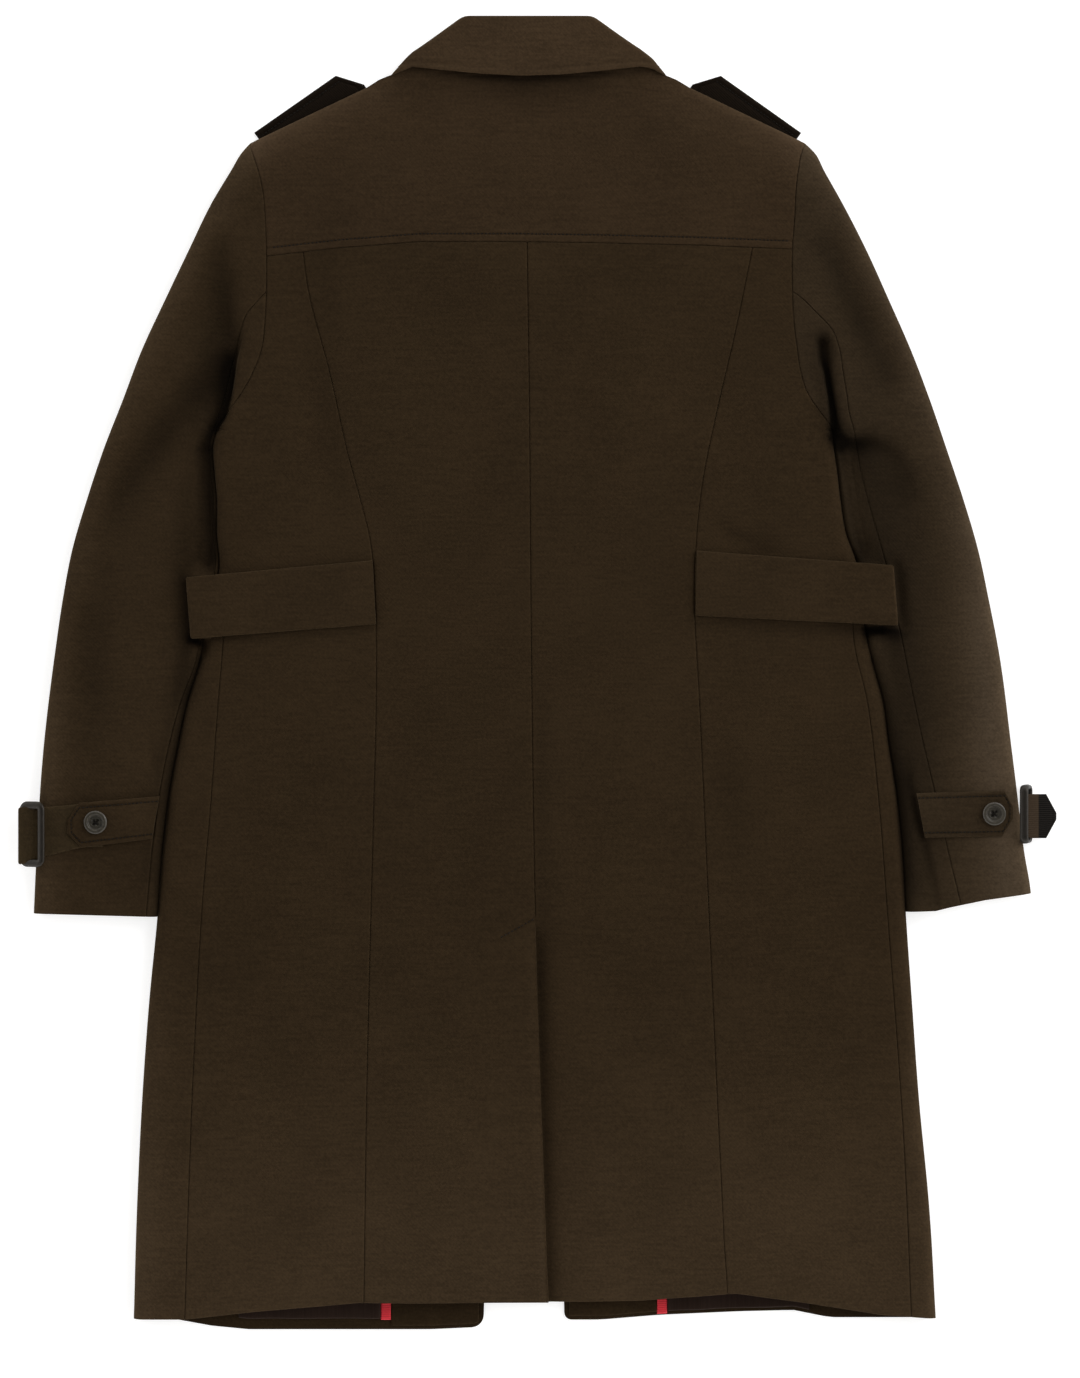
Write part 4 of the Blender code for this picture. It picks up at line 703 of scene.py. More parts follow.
# Back panels
# Two middle panels and two side panels of the same wool, joined by a centre seam and two shaped seams. Below
# its top the centre seam opens into a vent, where the left panel laps over the right one.
CENTRE = ((357, -10), (226, -8), (93, -7), (-200, -3), (-529, 8))
BACK_ROWS, BACK_ACROSS, SIDE_BACK_ACROSS = 250, 46, 30
ARMPIT_STEP, ARMPIT_EASE = 1.5, 8.0
VENT_TOP = -200.0
VENT_LAP, VENT_LAP_EASE = 34.0, 22.0
VENT_DROP, VENT_EASE = 2.7, 45.0
VENT_SINK, VENT_SINK_EASE = 2.0, 16.0
VENT_OPENS = 30.0
back_y = np.unique(np.append(columns(SEAM_ROW - SEWN, HEM_ROW, BACK_ROWS, SEAM_STEPS, HEM_STEPS)[0],
                             (ARMPIT, ARMPIT + ARMPIT_STEP)))[::-1]
back_rows = back_y[:, None]


def back_edges(x, y):
    """The row shifted onto the seam under the yoke and onto the back's hem."""
    hem = (straight(HEM_BACK, x) - HEM_ROW) * ease(1 - (y - HEM_ROW) / EDGE_REACH)
    return shifted(x, y, YOKE_SEAM, SEAM_ROW, EDGE_REACH) + hem


for name, lines in LINES.items():
    sign = lines["sign"]
    centre = along(CENTRE, back_y) + sign * SEWN
    shaped = along(lines["back"], back_y)
    lap = VENT_LAP * ease((VENT_TOP - back_y) / VENT_LAP_EASE) * (name == "right")
    x = columns(centre - lap, shaped - sign * SEWN, BACK_ACROSS)
    z = top_layer(x, back_rows) - rolled(back_rows - SEAM_ROW) - rolled(back_rows - HEM_ROW, *HEM_ROLL)
    z = z - rolled(x - (centre - lap)[:, None]) - rolled(x - shaped[:, None])
    inner_z = top_layer(x, back_rows, CLOTH)
    drop = 0.0
    if name == "right":
        away = x - centre[:, None]
        drop = VENT_DROP * (1 - ease(away / VENT_EASE)) + VENT_SINK * (1 - ease(away / VENT_SINK_EASE))
        drop = drop * ease((VENT_TOP - back_rows) / VENT_OPENS)
    cloth(f"back_{name}_cloth", [f"back_{name}"], grid_points(x, back_edges(x, back_rows), z - drop),
          grid_points(x, back_edges(x, back_rows), inner_z - drop), back_wool)
    limit = np.where(back_y > ARMPIT, along(lines["armhole"], back_y), along(lines["side"], back_y))
    limit = limit - sign * SEWN
    x = columns(shaped + sign * SEWN, limit, SIDE_BACK_ACROSS)
    z = top_layer(x, back_rows) - rolled(back_rows - SEAM_ROW) - rolled(back_rows - HEM_ROW, *HEM_ROLL)
    z = z - rolled(x - shaped[:, None])
    shows = np.maximum(ease((back_rows - ARMPIT) / ARMPIT_EASE), side_shows(back_rows))
    z = z - rolled(x - limit[:, None]) * shows
    cloth(f"side_back_{name}_cloth", [f"side_back_{name}"], grid_points(x, back_edges(x, back_rows), z),
          grid_points(x, back_edges(x, back_rows), top_layer(x, back_rows, CLOTH)), back_wool)

# Sleeves
# Two-piece sleeves of the same wool, set into the armholes. The upper sleeve turns round the outer edge and
# the under sleeve round the inner one, and the elbow seam between them shows on top. The cuffs are turned up.
left_wool = wool("milled brown wool, left sleeve", "#2b2115")
right_wool = wool("milled brown wool, right sleeve", "#2b2217")
SLEEVE_TOP, ELBOW_TOP = 439.6, 316.0
SLEEVE_ROWS, UPPER_ACROSS, UNDER_ACROSS, LOWER_ACROSS = 260, 40, 20, 10
SLEEVE_STEP, UNDER_EASE = 3.0, 6.0
COARSE_STEPS = np.array((0, 3.0))
for name, lines in LINES.items():
    sign = lines["sign"]
    finish = left_wool if name == "left" else right_wool
    y = np.unique(np.append(columns(SLEEVE_TOP, CUFF_ROW, SLEEVE_ROWS, NO_STEPS, HEM_STEPS)[0],
                            (ELBOW_TOP, ARMPIT, ARMPIT + SLEEVE_STEP)))[::-1]
    rows = y[:, None]
    out = along(lines["out"], y)
    armhole = along(lines["armhole"], y)
    on_top = np.where(y > ELBOW_TOP, armhole, along(lines["elbow"], y)) + sign * SEWN
    below = np.where(y > ELBOW_TOP, armhole, along(lines["forearm"], y)) + sign * SEWN
    both = []
    for far, wall in ((FOLD_STEPS, 0.0), (FOLD_WALL, CLOTH)):
        upper = columns(on_top, out, UPPER_ACROSS, SEAM_STEPS, far)
        lower = columns(below, out, LOWER_ACROSS, COARSE_STEPS, far)[:, -2::-1]
        x = np.hstack((upper, lower))
        upper_z = top_layer(upper, rows, wall)
        if not wall:
            upper_z = upper_z - rolled(upper - on_top[:, None]) - rolled(rows - CUFF_ROW, *HEM_ROLL)
        z = np.hstack((upper_z, bottom_layer(lower, rows, wall)))
        both.append(grid_points(x, shifted(x, rows, lines["cuff"], CUFF_ROW, EDGE_REACH), z))
    cloth(f"sleeve_upper_{name}_cloth", [f"sleeve_upper_{name}"], both[0], both[1], finish)

    y = y[y < ELBOW_TOP]
    rows = y[:, None]
    elbow = along(lines["elbow"], y) - sign * SEWN
    limit = np.where(y > ARMPIT, along(lines["armhole"], y) + sign * SEWN, along(lines["slit"], y))
    forearm = along(lines["forearm"], y) - sign * SEWN
    both = []
    for far, wall in ((FOLD_STEPS, 0.0), (FOLD_WALL, CLOTH)):
        edge_steps = np.where((y > ARMPIT)[:, None], FOLD_STEPS, far)
        upper = columns(elbow, limit, UNDER_ACROSS, SEAM_STEPS, edge_steps)
        lower = columns(forearm, limit, LOWER_ACROSS, COARSE_STEPS, edge_steps)[:, -2::-1]
        turn = upper.shape[1]
        x = np.hstack((upper, lower))
        upper_z = top_layer(upper, rows, wall)
        if not wall:
            upper_z = upper_z - rolled(upper - elbow[:, None]) - rolled(rows - CUFF_ROW, *HEM_ROLL)
            upper_z = upper_z - rolled(upper - limit[:, None]) * ease((rows - ARMPIT) / UNDER_EASE)
        z = np.hstack((upper_z, bottom_layer(lower, rows, wall)))
        both.append(grid_points(x, shifted(x, rows, lines["cuff"], CUFF_ROW, EDGE_REACH), z))
    keep = np.ones((len(y) - 1, both[0].shape[1] - 1), bool)
    keep[:np.searchsorted(-y, -ARMPIT), turn - 1] = False
    cloth(f"sleeve_under_{name}_cloth", [f"sleeve_under_{name}"], both[0], both[1], finish, keep)

# Collar
# A turned-down collar in one length of the wool: the stand rises from the neck seam, rolls over at the top
# and comes down as the fall, which lies over the yoke. Flat on the floor it is an oval loop, open in front.
# painted light: the collar's copy of the same wool is drawn lighter than the back's, for the light on the
# raised collar
collar_wool_painted_lighter = wool("milled brown wool, collar, painted lighter", "#362a1d")
COLLAR_TOP = 543.0
COLLAR_SIDES = {"left": ((545, -64), (540, -71), (498, -127), (490, -137)),
                "right": ((545, 46), (540, 53), (498, 110), (490, 120))}
FALL_EDGE = ((-130, 493.5), (-118, 497), (-105, 502.5), (-82, 500), (-49, 496.8), (-16, 495), (17, 496),
             (51, 499), (84, 502.6), (94, 501), (100, 497.5), (106, 495), (115, 491.5))
FALL_SIDE = 500.5
STAND_EDGE = 503.8
COLLAR_OPEN = 8.0
COLLAR_REACH, COLLAR_LEAST_REACH = 7.0, 2.5
COLLAR_ROW = 495.0
FALL_LIFT, FALL_LIFT_EASE = 1.9, 4.0
FALL_STITCH, FALL_DENT = 5.0, (0.9, 1.6)
FALL_CLIMB = np.concatenate(((0, 0.008, 0.02, 0.04), np.linspace(0.07, 1, 30)))
STAND_ROWS = 10
collar_high = float(plateau(np.array(COLLAR_AXIS), np.array(COLLAR_ROW))) + GAP + CLOTH


def collar_loop(y, depth):
    """One loop for each row: along the floor, round the left side, over the back and round the right side.

    The sides are half ovals, and depth is how far a row lies inside the outermost loop.
    """
    y, depth = y[:, None], depth[:, None]
    reach = np.maximum(COLLAR_REACH - depth, COLLAR_LEAST_REACH)
    level = collar_high / 2
    turn = np.linspace(-np.pi / 2, np.pi / 2, 15)
    xl = along(COLLAR_SIDES["left"], y) + depth
    xr = along(COLLAR_SIDES["right"], y) - depth
    run, over = np.linspace(0, 1, 12)[:-1], np.linspace(0, 1, 56)[1:-1]
    rise = level - depth
    x = np.hstack((COLLAR_AXIS - COLLAR_OPEN + (xl + reach - COLLAR_AXIS + COLLAR_OPEN) * run,
                   xl + reach * (1 - np.cos(turn)), xl + reach + (xr - xl - 2 * reach) * over,
                   xr - reach * (1 - np.cos(turn)),
                   xr - reach + (COLLAR_AXIS + COLLAR_OPEN - xr + reach) * (1 - run[::-1])))
    flat = np.ones(len(over))
    floor_run = -np.ones(len(run))
    z = level + rise * np.concatenate((floor_run, np.sin(turn), flat, np.sin(-turn), floor_run))
    return x, z


def collar_face(near, far):
    """One face of the collar: up the fall, over the top in a half round from near to far, down the stand."""
    over = np.linspace(0, np.pi, 13)[1:-1]
    radius = (far - near) / 2
    y = np.concatenate((FALL_SIDE + (COLLAR_TOP - FALL_SIDE) * FALL_CLIMB, COLLAR_TOP + radius * np.sin(over),
                        COLLAR_TOP + (STAND_EDGE - COLLAR_TOP) * np.linspace(0, 1, STAND_ROWS)))
    depth = np.concatenate((np.full(len(FALL_CLIMB), near), near + radius * (1 - np.cos(over)),
                            np.full(STAND_ROWS, far)))
    x, z = collar_loop(y, depth)
    edge = np.concatenate((1 - FALL_CLIMB, np.zeros(len(y) - len(FALL_CLIMB))))[:, None]
    raised = FALL_LIFT * edge ** 2 * ease((z - collar_high / 2) / FALL_LIFT_EASE)
    drawn = y[:, None] + (straight(FALL_EDGE, x) - FALL_SIDE) * edge ** 2
    return grid_points(x, drawn, z + raised), edge


collar_outer, fall_share = collar_face(0.0, 2 * CLOTH + GAP)
collar_inner, _ = collar_face(CLOTH, CLOTH + GAP)
away_from_edge = (1 - fall_share) * (COLLAR_TOP - FALL_SIDE)
upper_half = np.where(collar_outer[..., 2] > collar_high / 2, 1.0, -1.0)
edge_form = rolled(away_from_edge, *HEM_ROLL) + channel(away_from_edge, FALL_STITCH, *FALL_DENT)
collar_outer[..., 2] -= edge_form * upper_half * (fall_share > 0)
cloth("collar_cloth", ["collar_fall", "collar_stand"], collar_outer, collar_inner, collar_wool_painted_lighter, no_painted_shading=True)

# Shoulder straps
# Dark straps of stiffened cloth with a run of edge stitching. Each is sewn in at the shoulder point and lies
# under the shoulder here, so only its outer half shows past the shoulder seam.
strap_wool, strap_tree, strap_shader, strap_place = start_material(
    "dark ribbed strap cloth", {"Roughness": 0.85, "Specular IOR Level": 0.03, "Sheen Weight": 0.02,
                                "Sheen Roughness": 0.4, "Sheen Tint": linear("#6a6058")})
RIB = 0.0016          # the real ribs are about 0.8 mm apart, drawn at twice that so that they show
FUZZ = 0.0025
ribs = add(strap_tree, "ShaderNodeTexWave", {"bands_direction": "DIAGONAL"}, {
    "Vector": strap_place, "Scale": SLANT_BANDS / RIB, "Distortion": 0.6, "Detail": 1.0})
strap_fuzz = add(strap_tree, "ShaderNodeTexNoise", inputs={
    "Vector": strap_place, "Scale": 1 / FUZZ, "Detail": 3.0})
strap_share = add(strap_tree, "ShaderNodeMath", {"operation": "MULTIPLY_ADD", "use_clamp": True},
                  {0: ribs.outputs["Fac"], 1: 0.4, 2: strap_fuzz.outputs["Fac"]})
strap_colour = add(strap_tree, "ShaderNodeMix", {"data_type": "RGBA"},
                   {0: strap_share.outputs[0], 6: linear("#0a0705"), 7: linear("#18120c")})
strap_tree.links.new(strap_colour.outputs[2], strap_shader.inputs["Base Color"])
strap_bump = add(strap_tree, "ShaderNodeBump", inputs={
    "Strength": 0.5, "Distance": 0.0004, "Height": strap_share.outputs[0]})
strap_tree.links.new(strap_bump.outputs["Normal"], strap_shader.inputs["Normal"])

STRAP_ENDS = {"left": ((-224.5, 431.5), (-156.5, 479.0)), "right": ((205.5, 431.5), (138.5, 479.0))}
STRAP_HALF = 22.5
STRAP_POINT = 15.0
STRAP_TIP_HALF = 3.0
STRAP_THICK, STRAP_ROUND, STRAP_LEAST = 2.5, 3.0, 0.2
STRAP_PUFF = 0.4      # how far the cloth stands above the stitching
STITCH_INSET, STRAP_DENT = 6.0, (0.9, 1.2)
STRAP_STEPS, STRAP_POINT_STEPS = 24, 12


def soft_edge(away, thick, reach=2.0, least=0.3):
    """Thickness of a strap: full inside, and a quarter round down to a least share at its edge."""
    return thick * (least + (1 - least) * roundness(away, reach))


# Twisted sewing thread, a darker brown than the cloth and a little smoother.
THREAD_TWIST = 0.0008
dark_thread, thread_tree, thread_shader, thread_place = start_material(
    "dark brown sewing thread", {"Roughness": 0.7, "Specular IOR Level": 0.12})
twist = add(thread_tree, "ShaderNodeTexNoise", inputs={
    "Vector": thread_place, "Scale": 1 / THREAD_TWIST, "Detail": 1.0})
thread_dark, thread_light = shades("#0e0a06", 0.7, 1.3)
thread_colour = add(thread_tree, "ShaderNodeMix", {"data_type": "RGBA"},
                    {0: twist.outputs["Fac"], 6: thread_dark, 7: thread_light})
thread_tree.links.new(thread_colour.outputs[2], thread_shader.inputs["Base Color"])
STITCH_PITCH, STITCH_LENGTH, STITCH_RADIUS = 3.2, 2.1, 0.46
STITCH_SIGHT = 0.8    # way before and after a stitch that gives its direction
ROD_SIDES = 6
ROD_RING = np.linspace(0, 2 * np.pi, ROD_SIDES + 1)[:-1]


def rods(name, rings, finish):
    """Closed rods from their rings of six points: walls from ring to ring, and two faces over either end."""
    count = rings.shape[1]
    k, j = np.meshgrid(np.arange(count - 1), np.arange(ROD_SIDES), indexing="ij")
    a, b = k * ROD_SIDES + j, k * ROD_SIDES + (j + 1) % ROD_SIDES
    walls = np.stack((a, b, b + ROD_SIDES, a + ROD_SIDES), -1).reshape(-1, 4)
    head = np.array(((0, 3, 2, 1), (0, 5, 4, 3)))
    one = np.vstack((walls, head, head[:, (0, 3, 2, 1)] + ROD_SIDES * (count - 1)))
    faces = (one[None] + ROD_SIDES * count * np.arange(len(rings))[:, None, None]).reshape(-1, 4)
    piece = make_mesh(name, rings.reshape(-1, 3), faces, finish)


def stitches(name, path, finish):
    """A row of stitches along a path: one small capsule for each pitch, half sunk in the cloth.

    The capsule's rings are placed along the path's own direction, side and upright at each stitch.
    """
    way = np.linalg.norm(np.diff(path, axis=0), axis=1)
    reach = np.concatenate(((0,), np.cumsum(way)))
    at = np.arange(STITCH_PITCH / 2, reach[-1], STITCH_PITCH)
    centre = np.stack([np.interp(at, reach, path[:, k]) for k in range(3)], -1)
    ahead, behind = (np.stack([np.interp(at + sight, reach, path[:, k]) for k in range(3)], -1)
                     for sight in (STITCH_SIGHT, -STITCH_SIGHT))
    run = (ahead - behind) / np.linalg.norm(ahead - behind, axis=1, keepdims=True)
    side = np.cross((0, 0, 1), run)
    side /= np.linalg.norm(side, axis=1, keepdims=True)
    up = np.cross(run, side)
    lengths = np.array((-1, -0.75, 0, 0.75, 1)) * STITCH_LENGTH / 2
    radii = np.array((0.3, 0.9, 1, 0.9, 0.3)) * STITCH_RADIUS
    turned = np.cos(ROD_RING)[:, None] * side[:, None] + np.sin(ROD_RING)[:, None] * up[:, None]
    rings = (centre[:, None, None] + lengths[:, None, None] * run[:, None, None]
             + radii[:, None, None] * turned[:, None])
    rods(name, rings, finish)


for name, (first, last) in STRAP_ENDS.items():
    first, last = np.array(first), np.array(last)
    length = np.linalg.norm(last - first)
    way = (last - first) / length
    across = np.array((-way[1], way[0]))
    s = np.concatenate((columns(0.0, length, STRAP_STEPS, HEM_STEPS, NO_STEPS)[0],
                        length + STRAP_POINT * np.linspace(0, 1, STRAP_POINT_STEPS)[1:]))
    half = np.interp(s, (0, length, length + STRAP_POINT), (STRAP_HALF, STRAP_HALF, STRAP_TIP_HALF))
    w = columns(-half, half, STRAP_STEPS, HEM_STEPS, HEM_STEPS)
    s = s[:, None]
    away = np.minimum(half[:, None] - np.abs(w), np.minimum(s, length + STRAP_POINT - s))
    thick = soft_edge(away, STRAP_THICK + STRAP_PUFF, STRAP_ROUND, STRAP_LEAST)
    thick = thick - channel(away, STITCH_INSET, *STRAP_DENT)
    x = first[0] + way[0] * s + across[0] * w
    y = first[1] + way[1] * s + across[1] * w
    cloth(f"epaulette_{name}_cloth", [f"epaulette_{name}"], grid_points(x, y, thick),
          grid_points(x, y, np.zeros(x.shape)), strap_wool)
    outward = 1 if name == "left" else -1
    inset_line = across * outward * (STRAP_HALF - STITCH_INSET)
    ends = np.stack((first, last)) + inset_line
    row = np.column_stack((ends, (STRAP_THICK, STRAP_THICK)))
    stitches(f"epaulette_{name}_stitching", row, dark_thread)

# Half belts
# Doubled straps of the wool, caught in the shaped back seams. Each runs over the side of the back to a free
# end past the sleeve's slit, where its cloth is turned under.
belt_wool = wool("milled brown wool, belts", "#2b2115")
BELTS = {"left": ((-138, 93), (-135, 40), (-290, 79), (-286, 28)),
         "right": ((131, 101), (130, 47), (291, 89), (295, 39))}
BELT_CLOTH = 2.4
BELT_TURN = 14.0
BELT_RISE = 2.9
BELT_LEAVES, BELT_RISES_OVER = 0.6, 0.3
BELT_RUN = np.concatenate((np.linspace(0, 0.05, 6), np.linspace(0.05, 1, 56)[1:]))
BELT_ACROSS, BELT_ROUND = 22, 2.2
TURN_STEPS, TAIL_STEPS = 13, 6
for name, corners in BELTS.items():
    sign = LINES[name]["sign"]
    seam_top, seam_low, end_top, end_low = (np.array(p, float) for p in corners)
    width = np.linalg.norm(seam_low - seam_top)
    v = columns(0.0, width, BELT_ACROSS, HEM_STEPS, HEM_STEPS)[0][:, None]
    share = v / width
    seam = seam_top + (seam_low - seam_top) * share[..., None]
    end = end_top + (end_low - end_top) * share[..., None]
    plan = seam + (end - seam) * BELT_RUN[None, :, None]
    base = (plateau(plan[..., 0], plan[..., 1]) + GAP
            + BELT_RISE * ease((BELT_RUN - BELT_LEAVES) / BELT_RISES_OVER))
    flat_inner = grid_points(plan[..., 0], plan[..., 1], base)
    axis = base[:, -1:] - GAP / 2
    turn = np.linspace(np.pi / 2, -np.pi / 2, TURN_STEPS)[1:]
    hub_x, hub_y = plan[:, -1:, 0], plan[:, -1:, 1]
    round_inner = grid_points(hub_x + sign * GAP / 2 * np.cos(turn), hub_y, axis + GAP / 2 * np.sin(turn))
    tail = np.linspace(0, BELT_TURN, TAIL_STEPS)[1:]
    tail_inner = grid_points(hub_x - sign * tail, hub_y, axis - GAP / 2 + 0 * tail)
    inner = np.concatenate((flat_inner, round_inner, tail_inner), axis=1)
    facing = np.concatenate((np.tile((0, 0, 1), (len(BELT_RUN), 1)),
                             np.stack((sign * np.cos(turn), 0 * turn, np.sin(turn)), -1),
                             np.tile((0, 0, -1), (len(tail), 1))))
    thick = soft_edge(np.minimum(v, width - v), BELT_CLOTH, BELT_ROUND)[..., None]
    cloth(f"belt_{name}_cloth", [f"belt_{name}"], inner + facing[None] * thick, inner, belt_wool,
          no_painted_shading=True)

# Cuff tabs
# Pointed tabs of doubled wool with stitched edges, sewn into the elbow seam of each sleeve and buttoned down
# over the cuff.
STRAP_CLOTH = 1.8
TABS = {"left": ((-314.5, -102.5), (-321, -138), (-381, -108), (-379, -145), (-391, -128)),
        "right": ((313, -100), (320, -137), (386, -98), (384, -136), (393, -116))}
TAB_BEND = 0.4
TAB_TIP_HALF = 5.0
TAB_STITCH, TAB_DENT, TAB_SUNK = 4.2, 0.7, 0.25
TAB_ROWS, TAB_TIP_ROWS, TAB_ACROSS = 26, 10, 14
TAB_LENGTH = 60.0     # about what a tab measures to its shoulders, for the steps at its sewn end
TAB_PLAIN = 3         # rows at the tip that the stitching leaves out
tab_base = {"left": STRAP_CLOTH + 2 * GAP, "right": GAP}
for name, corners in TABS.items():
    finish = left_wool if name == "left" else right_wool
    seam_top, seam_low, top, low, tip = (np.array(p, float) for p in corners)
    t = np.concatenate((columns(0.0, 1.0, TAB_ROWS, HEM_STEPS / TAB_LENGTH, NO_STEPS)[0],
                        1 + np.linspace(0, 1, TAB_TIP_ROWS)[1:]))
    blunt = np.array((0, TAB_TIP_HALF))
    upper, lower = (np.stack([np.interp(t, (0, 1, 2), ends) for ends in np.transpose(edge)], -1)
                    for edge in ((seam_top, top, tip + blunt), (seam_low, low, tip - blunt)))
    width = np.linalg.norm(lower - upper, axis=1)
    v = columns(np.zeros(width.shape), width, TAB_ACROSS, HEM_STEPS, HEM_STEPS)
    plan = upper[:, None] + (lower - upper)[:, None] * (v / width[:, None])[..., None]
    steps = np.linalg.norm(np.diff((upper + lower) / 2, axis=0), axis=1)
    along_way = np.concatenate(((0,), np.cumsum(steps)))
    away = np.minimum(np.minimum(v, width[:, None] - v), (along_way[-1] - along_way)[:, None])
    lift = GAP + (tab_base[name] - GAP) * ease(t / TAB_BEND)[:, None]
    base = plateau(plan[..., 0], plan[..., 1]) + lift
    thick = soft_edge(away, STRAP_CLOTH) - channel(away, TAB_STITCH, TAB_DENT)
    outer, inner = (grid_points(plan[..., 0], plan[..., 1], height) for height in (base + thick, base))
    cloth(f"cuff_tab_{name}_cloth", [f"cuff_tab_{name}"], outer, inner, finish,
          no_painted_shading=True)
    loop = []
    for edge, other in ((upper, lower), (lower, upper)):
        inward = (other - edge) / np.linalg.norm(other - edge, axis=1, keepdims=True)
        loop.append((edge + inward * TAB_STITCH)[:-TAB_PLAIN])
    loop = np.vstack((loop[0], loop[1][::-1]))
    rise = lift[:-TAB_PLAIN, 0]
    level = plateau(*loop.T) + np.concatenate((rise, rise[::-1])) + STRAP_CLOTH - TAB_SUNK
    stitches(f"cuff_tab_{name}_stitching", np.column_stack((loop, level)), dark_thread)

# Buttons
# Four-hole buttons of polished dark horn, turned with a raised rim and a sunk middle, and sewn on with a
# cross of dark thread.
HORN_STREAK = 0.003
horn, horn_tree, horn_shader, horn_place = start_material(
    "polished dark horn", {"Roughness": 0.36, "IOR": 1.54, "Specular IOR Level": 0.3, "Coat Weight": 0.08,
                           "Coat Roughness": 0.2})
streaks = add(horn_tree, "ShaderNodeTexNoise", inputs={
    "Vector": horn_place, "Scale": 1 / HORN_STREAK, "Detail": 4.0, "Distortion": 1.2})
horn_colour = add(horn_tree, "ShaderNodeMix", {"data_type": "RGBA"},
                  {0: streaks.outputs["Fac"], 6: linear("#0c0a08"), 7: linear("#403b31")})
horn_tree.links.new(horn_colour.outputs[2], horn_shader.inputs["Base Color"])
BUTTONS = {"left": (-367.0, -124.0), "right": (377.0, -117.0)}
BUTTON_RADIUS, BUTTON_HEIGHT = 9.5, 3.4
BUTTON_SINK, SINK_FROM, SINK_OVER = 1.9, 5.4, 1.6
BUTTON_FALL, FALL_FROM, FALL_OVER = 0.9, 8.6, 0.9
BUTTON_UNDER = ((1.0, 1.9), (0.985, 1.2), (0.94, 0.5), (0.9, 0.1), (0.6, 0.0), (0.02, 0.0))  # radius share, z
BUTTON_SIDES = 64
HOLE_WAY, HOLE_RADIUS, HOLE_DEPTH = 2.3, 1.15, 1.3
STRAND_RADIUS, STRAND_WAY, STRAND_SEAT, STRAND_BOW = 0.34, 0.3, 1.65, 0.25
under_radius, under_z = np.array(BUTTON_UNDER).T
for name, (cx, cy) in BUTTONS.items():
    upper_radius = np.concatenate((np.linspace(0.02, 0.58, 16), np.linspace(0.6, 0.98, 16), (1.0,)))
    r = np.concatenate((upper_radius, under_radius)) * BUTTON_RADIUS
    rim = (BUTTON_HEIGHT - BUTTON_SINK * (1 - ease((r - SINK_FROM) / SINK_OVER))
           - BUTTON_FALL * ease((r - FALL_FROM) / FALL_OVER))
    rim[len(upper_radius):] = under_z
    angle = np.linspace(0, 2 * np.pi, BUTTON_SIDES + 1)
    x, y = r[:, None] * np.cos(angle), r[:, None] * np.sin(angle)
    hole = np.hypot(np.abs(x) - HOLE_WAY * math.sqrt(0.5), np.abs(y) - HOLE_WAY * math.sqrt(0.5))
    upper_side = (np.arange(len(r)) < len(upper_radius))[:, None]
    z = rim[:, None] - np.where(upper_side, HOLE_DEPTH * np.exp(-(hole / HOLE_RADIUS) ** 4), 0)
    seat = float(plateau(np.array(cx), np.array(cy))) + tab_base[name] + STRAP_CLOTH + GAP
    points = grid_points(cx + x, cy + y, seat + z)[:, :-1]
    count = points.shape[1]
    number = np.arange(len(r) * count).reshape(len(r), count)
    nxt = np.roll(number, -1, axis=1)
    faces = np.stack((number[:-1], nxt[:-1], nxt[1:], number[1:]), -1).reshape(-1, 4)
    points = np.vstack((points.reshape(-1, 3), (cx, cy, seat + rim[0]), (cx, cy, seat)))
    hub = len(points) - 2
    wedge = (np.arange(0, count, 2)[:, None] + (0, 1, 2)) % count
    top_cap = np.column_stack((np.full(len(wedge), hub), number[0][wedge[:, ::-1]]))
    low_cap = np.column_stack((np.full(len(wedge), hub + 1), number[-1][wedge]))
    button = make_mesh(f"horn_button_{name}", points, np.vstack((faces, top_cap, low_cap)), horn)
    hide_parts(f"button_{name}")
    strands = []
    bow = np.linspace(-1, 1, 9)
    for direction in ((1, 1), (1, -1)):
        run = np.array((*direction, 0)) / math.sqrt(2)
        side = np.array((-run[1], run[0], 0))
        arch = STRAND_SEAT + STRAND_BOW * (1 + (direction[1] < 0)) * (1 - bow ** 2)
        turned = np.cos(ROD_RING)[:, None] * side + np.sin(ROD_RING)[:, None] * np.array((0, 0, 1))
        for offset in (-STRAND_WAY, STRAND_WAY):
            line = (cx, cy, seat) + bow[:, None] * HOLE_WAY * run + offset * side + arch[:, None] * (0, 0, 1)
            strands.append(line[:, None] + STRAND_RADIUS * turned)
    rods(f"button_thread_{name}", np.stack(strands), dark_thread)

# Buckles
# Bent frames of wire, blackened, at the outer edge of each cuff. The left one lies over the sleeve's edge and
# the right one stands on it.
SCUFF = 0.003
steel, steel_tree, steel_shader, steel_place = start_material(
    "blackened steel wire", {"Metallic": 0.75, "Coat Weight": 0.15, "Coat Roughness": 0.3})
scuff = add(steel_tree, "ShaderNodeTexNoise", inputs={
    "Vector": steel_place, "Scale": 1 / SCUFF, "Detail": 4.0})
steel_colour = add(steel_tree, "ShaderNodeMix", {"data_type": "RGBA"},
                   {0: scuff.outputs["Fac"], 6: linear("#0d0b08"), 7: linear("#2c2721")})
steel_tree.links.new(steel_colour.outputs[2], steel_shader.inputs["Base Color"])
steel_rough = add(steel_tree, "ShaderNodeMapRange", inputs={
    "Value": scuff.outputs["Fac"], "To Min": 0.42, "To Max": 0.7})
steel_tree.links.new(steel_rough.outputs[0], steel_shader.inputs["Roughness"])
WIRE = 2.0
WIRE_BROAD, WIRE_WIDE = {"left": 1.6, "right": 1.0}, {"left": 1.0, "right": 1.8}
WIRE_CORNER, CORNER_STEPS, WIRE_SIDES = 4.0, 9, 16
BUCKLES = {"left": ((-412.0, 20.6), (-428.0, 13.0), (-110.0, -158.0)),
           "right": ((407.5, 2.2), (401.5, 19.0), (-95.0, -140.0))}
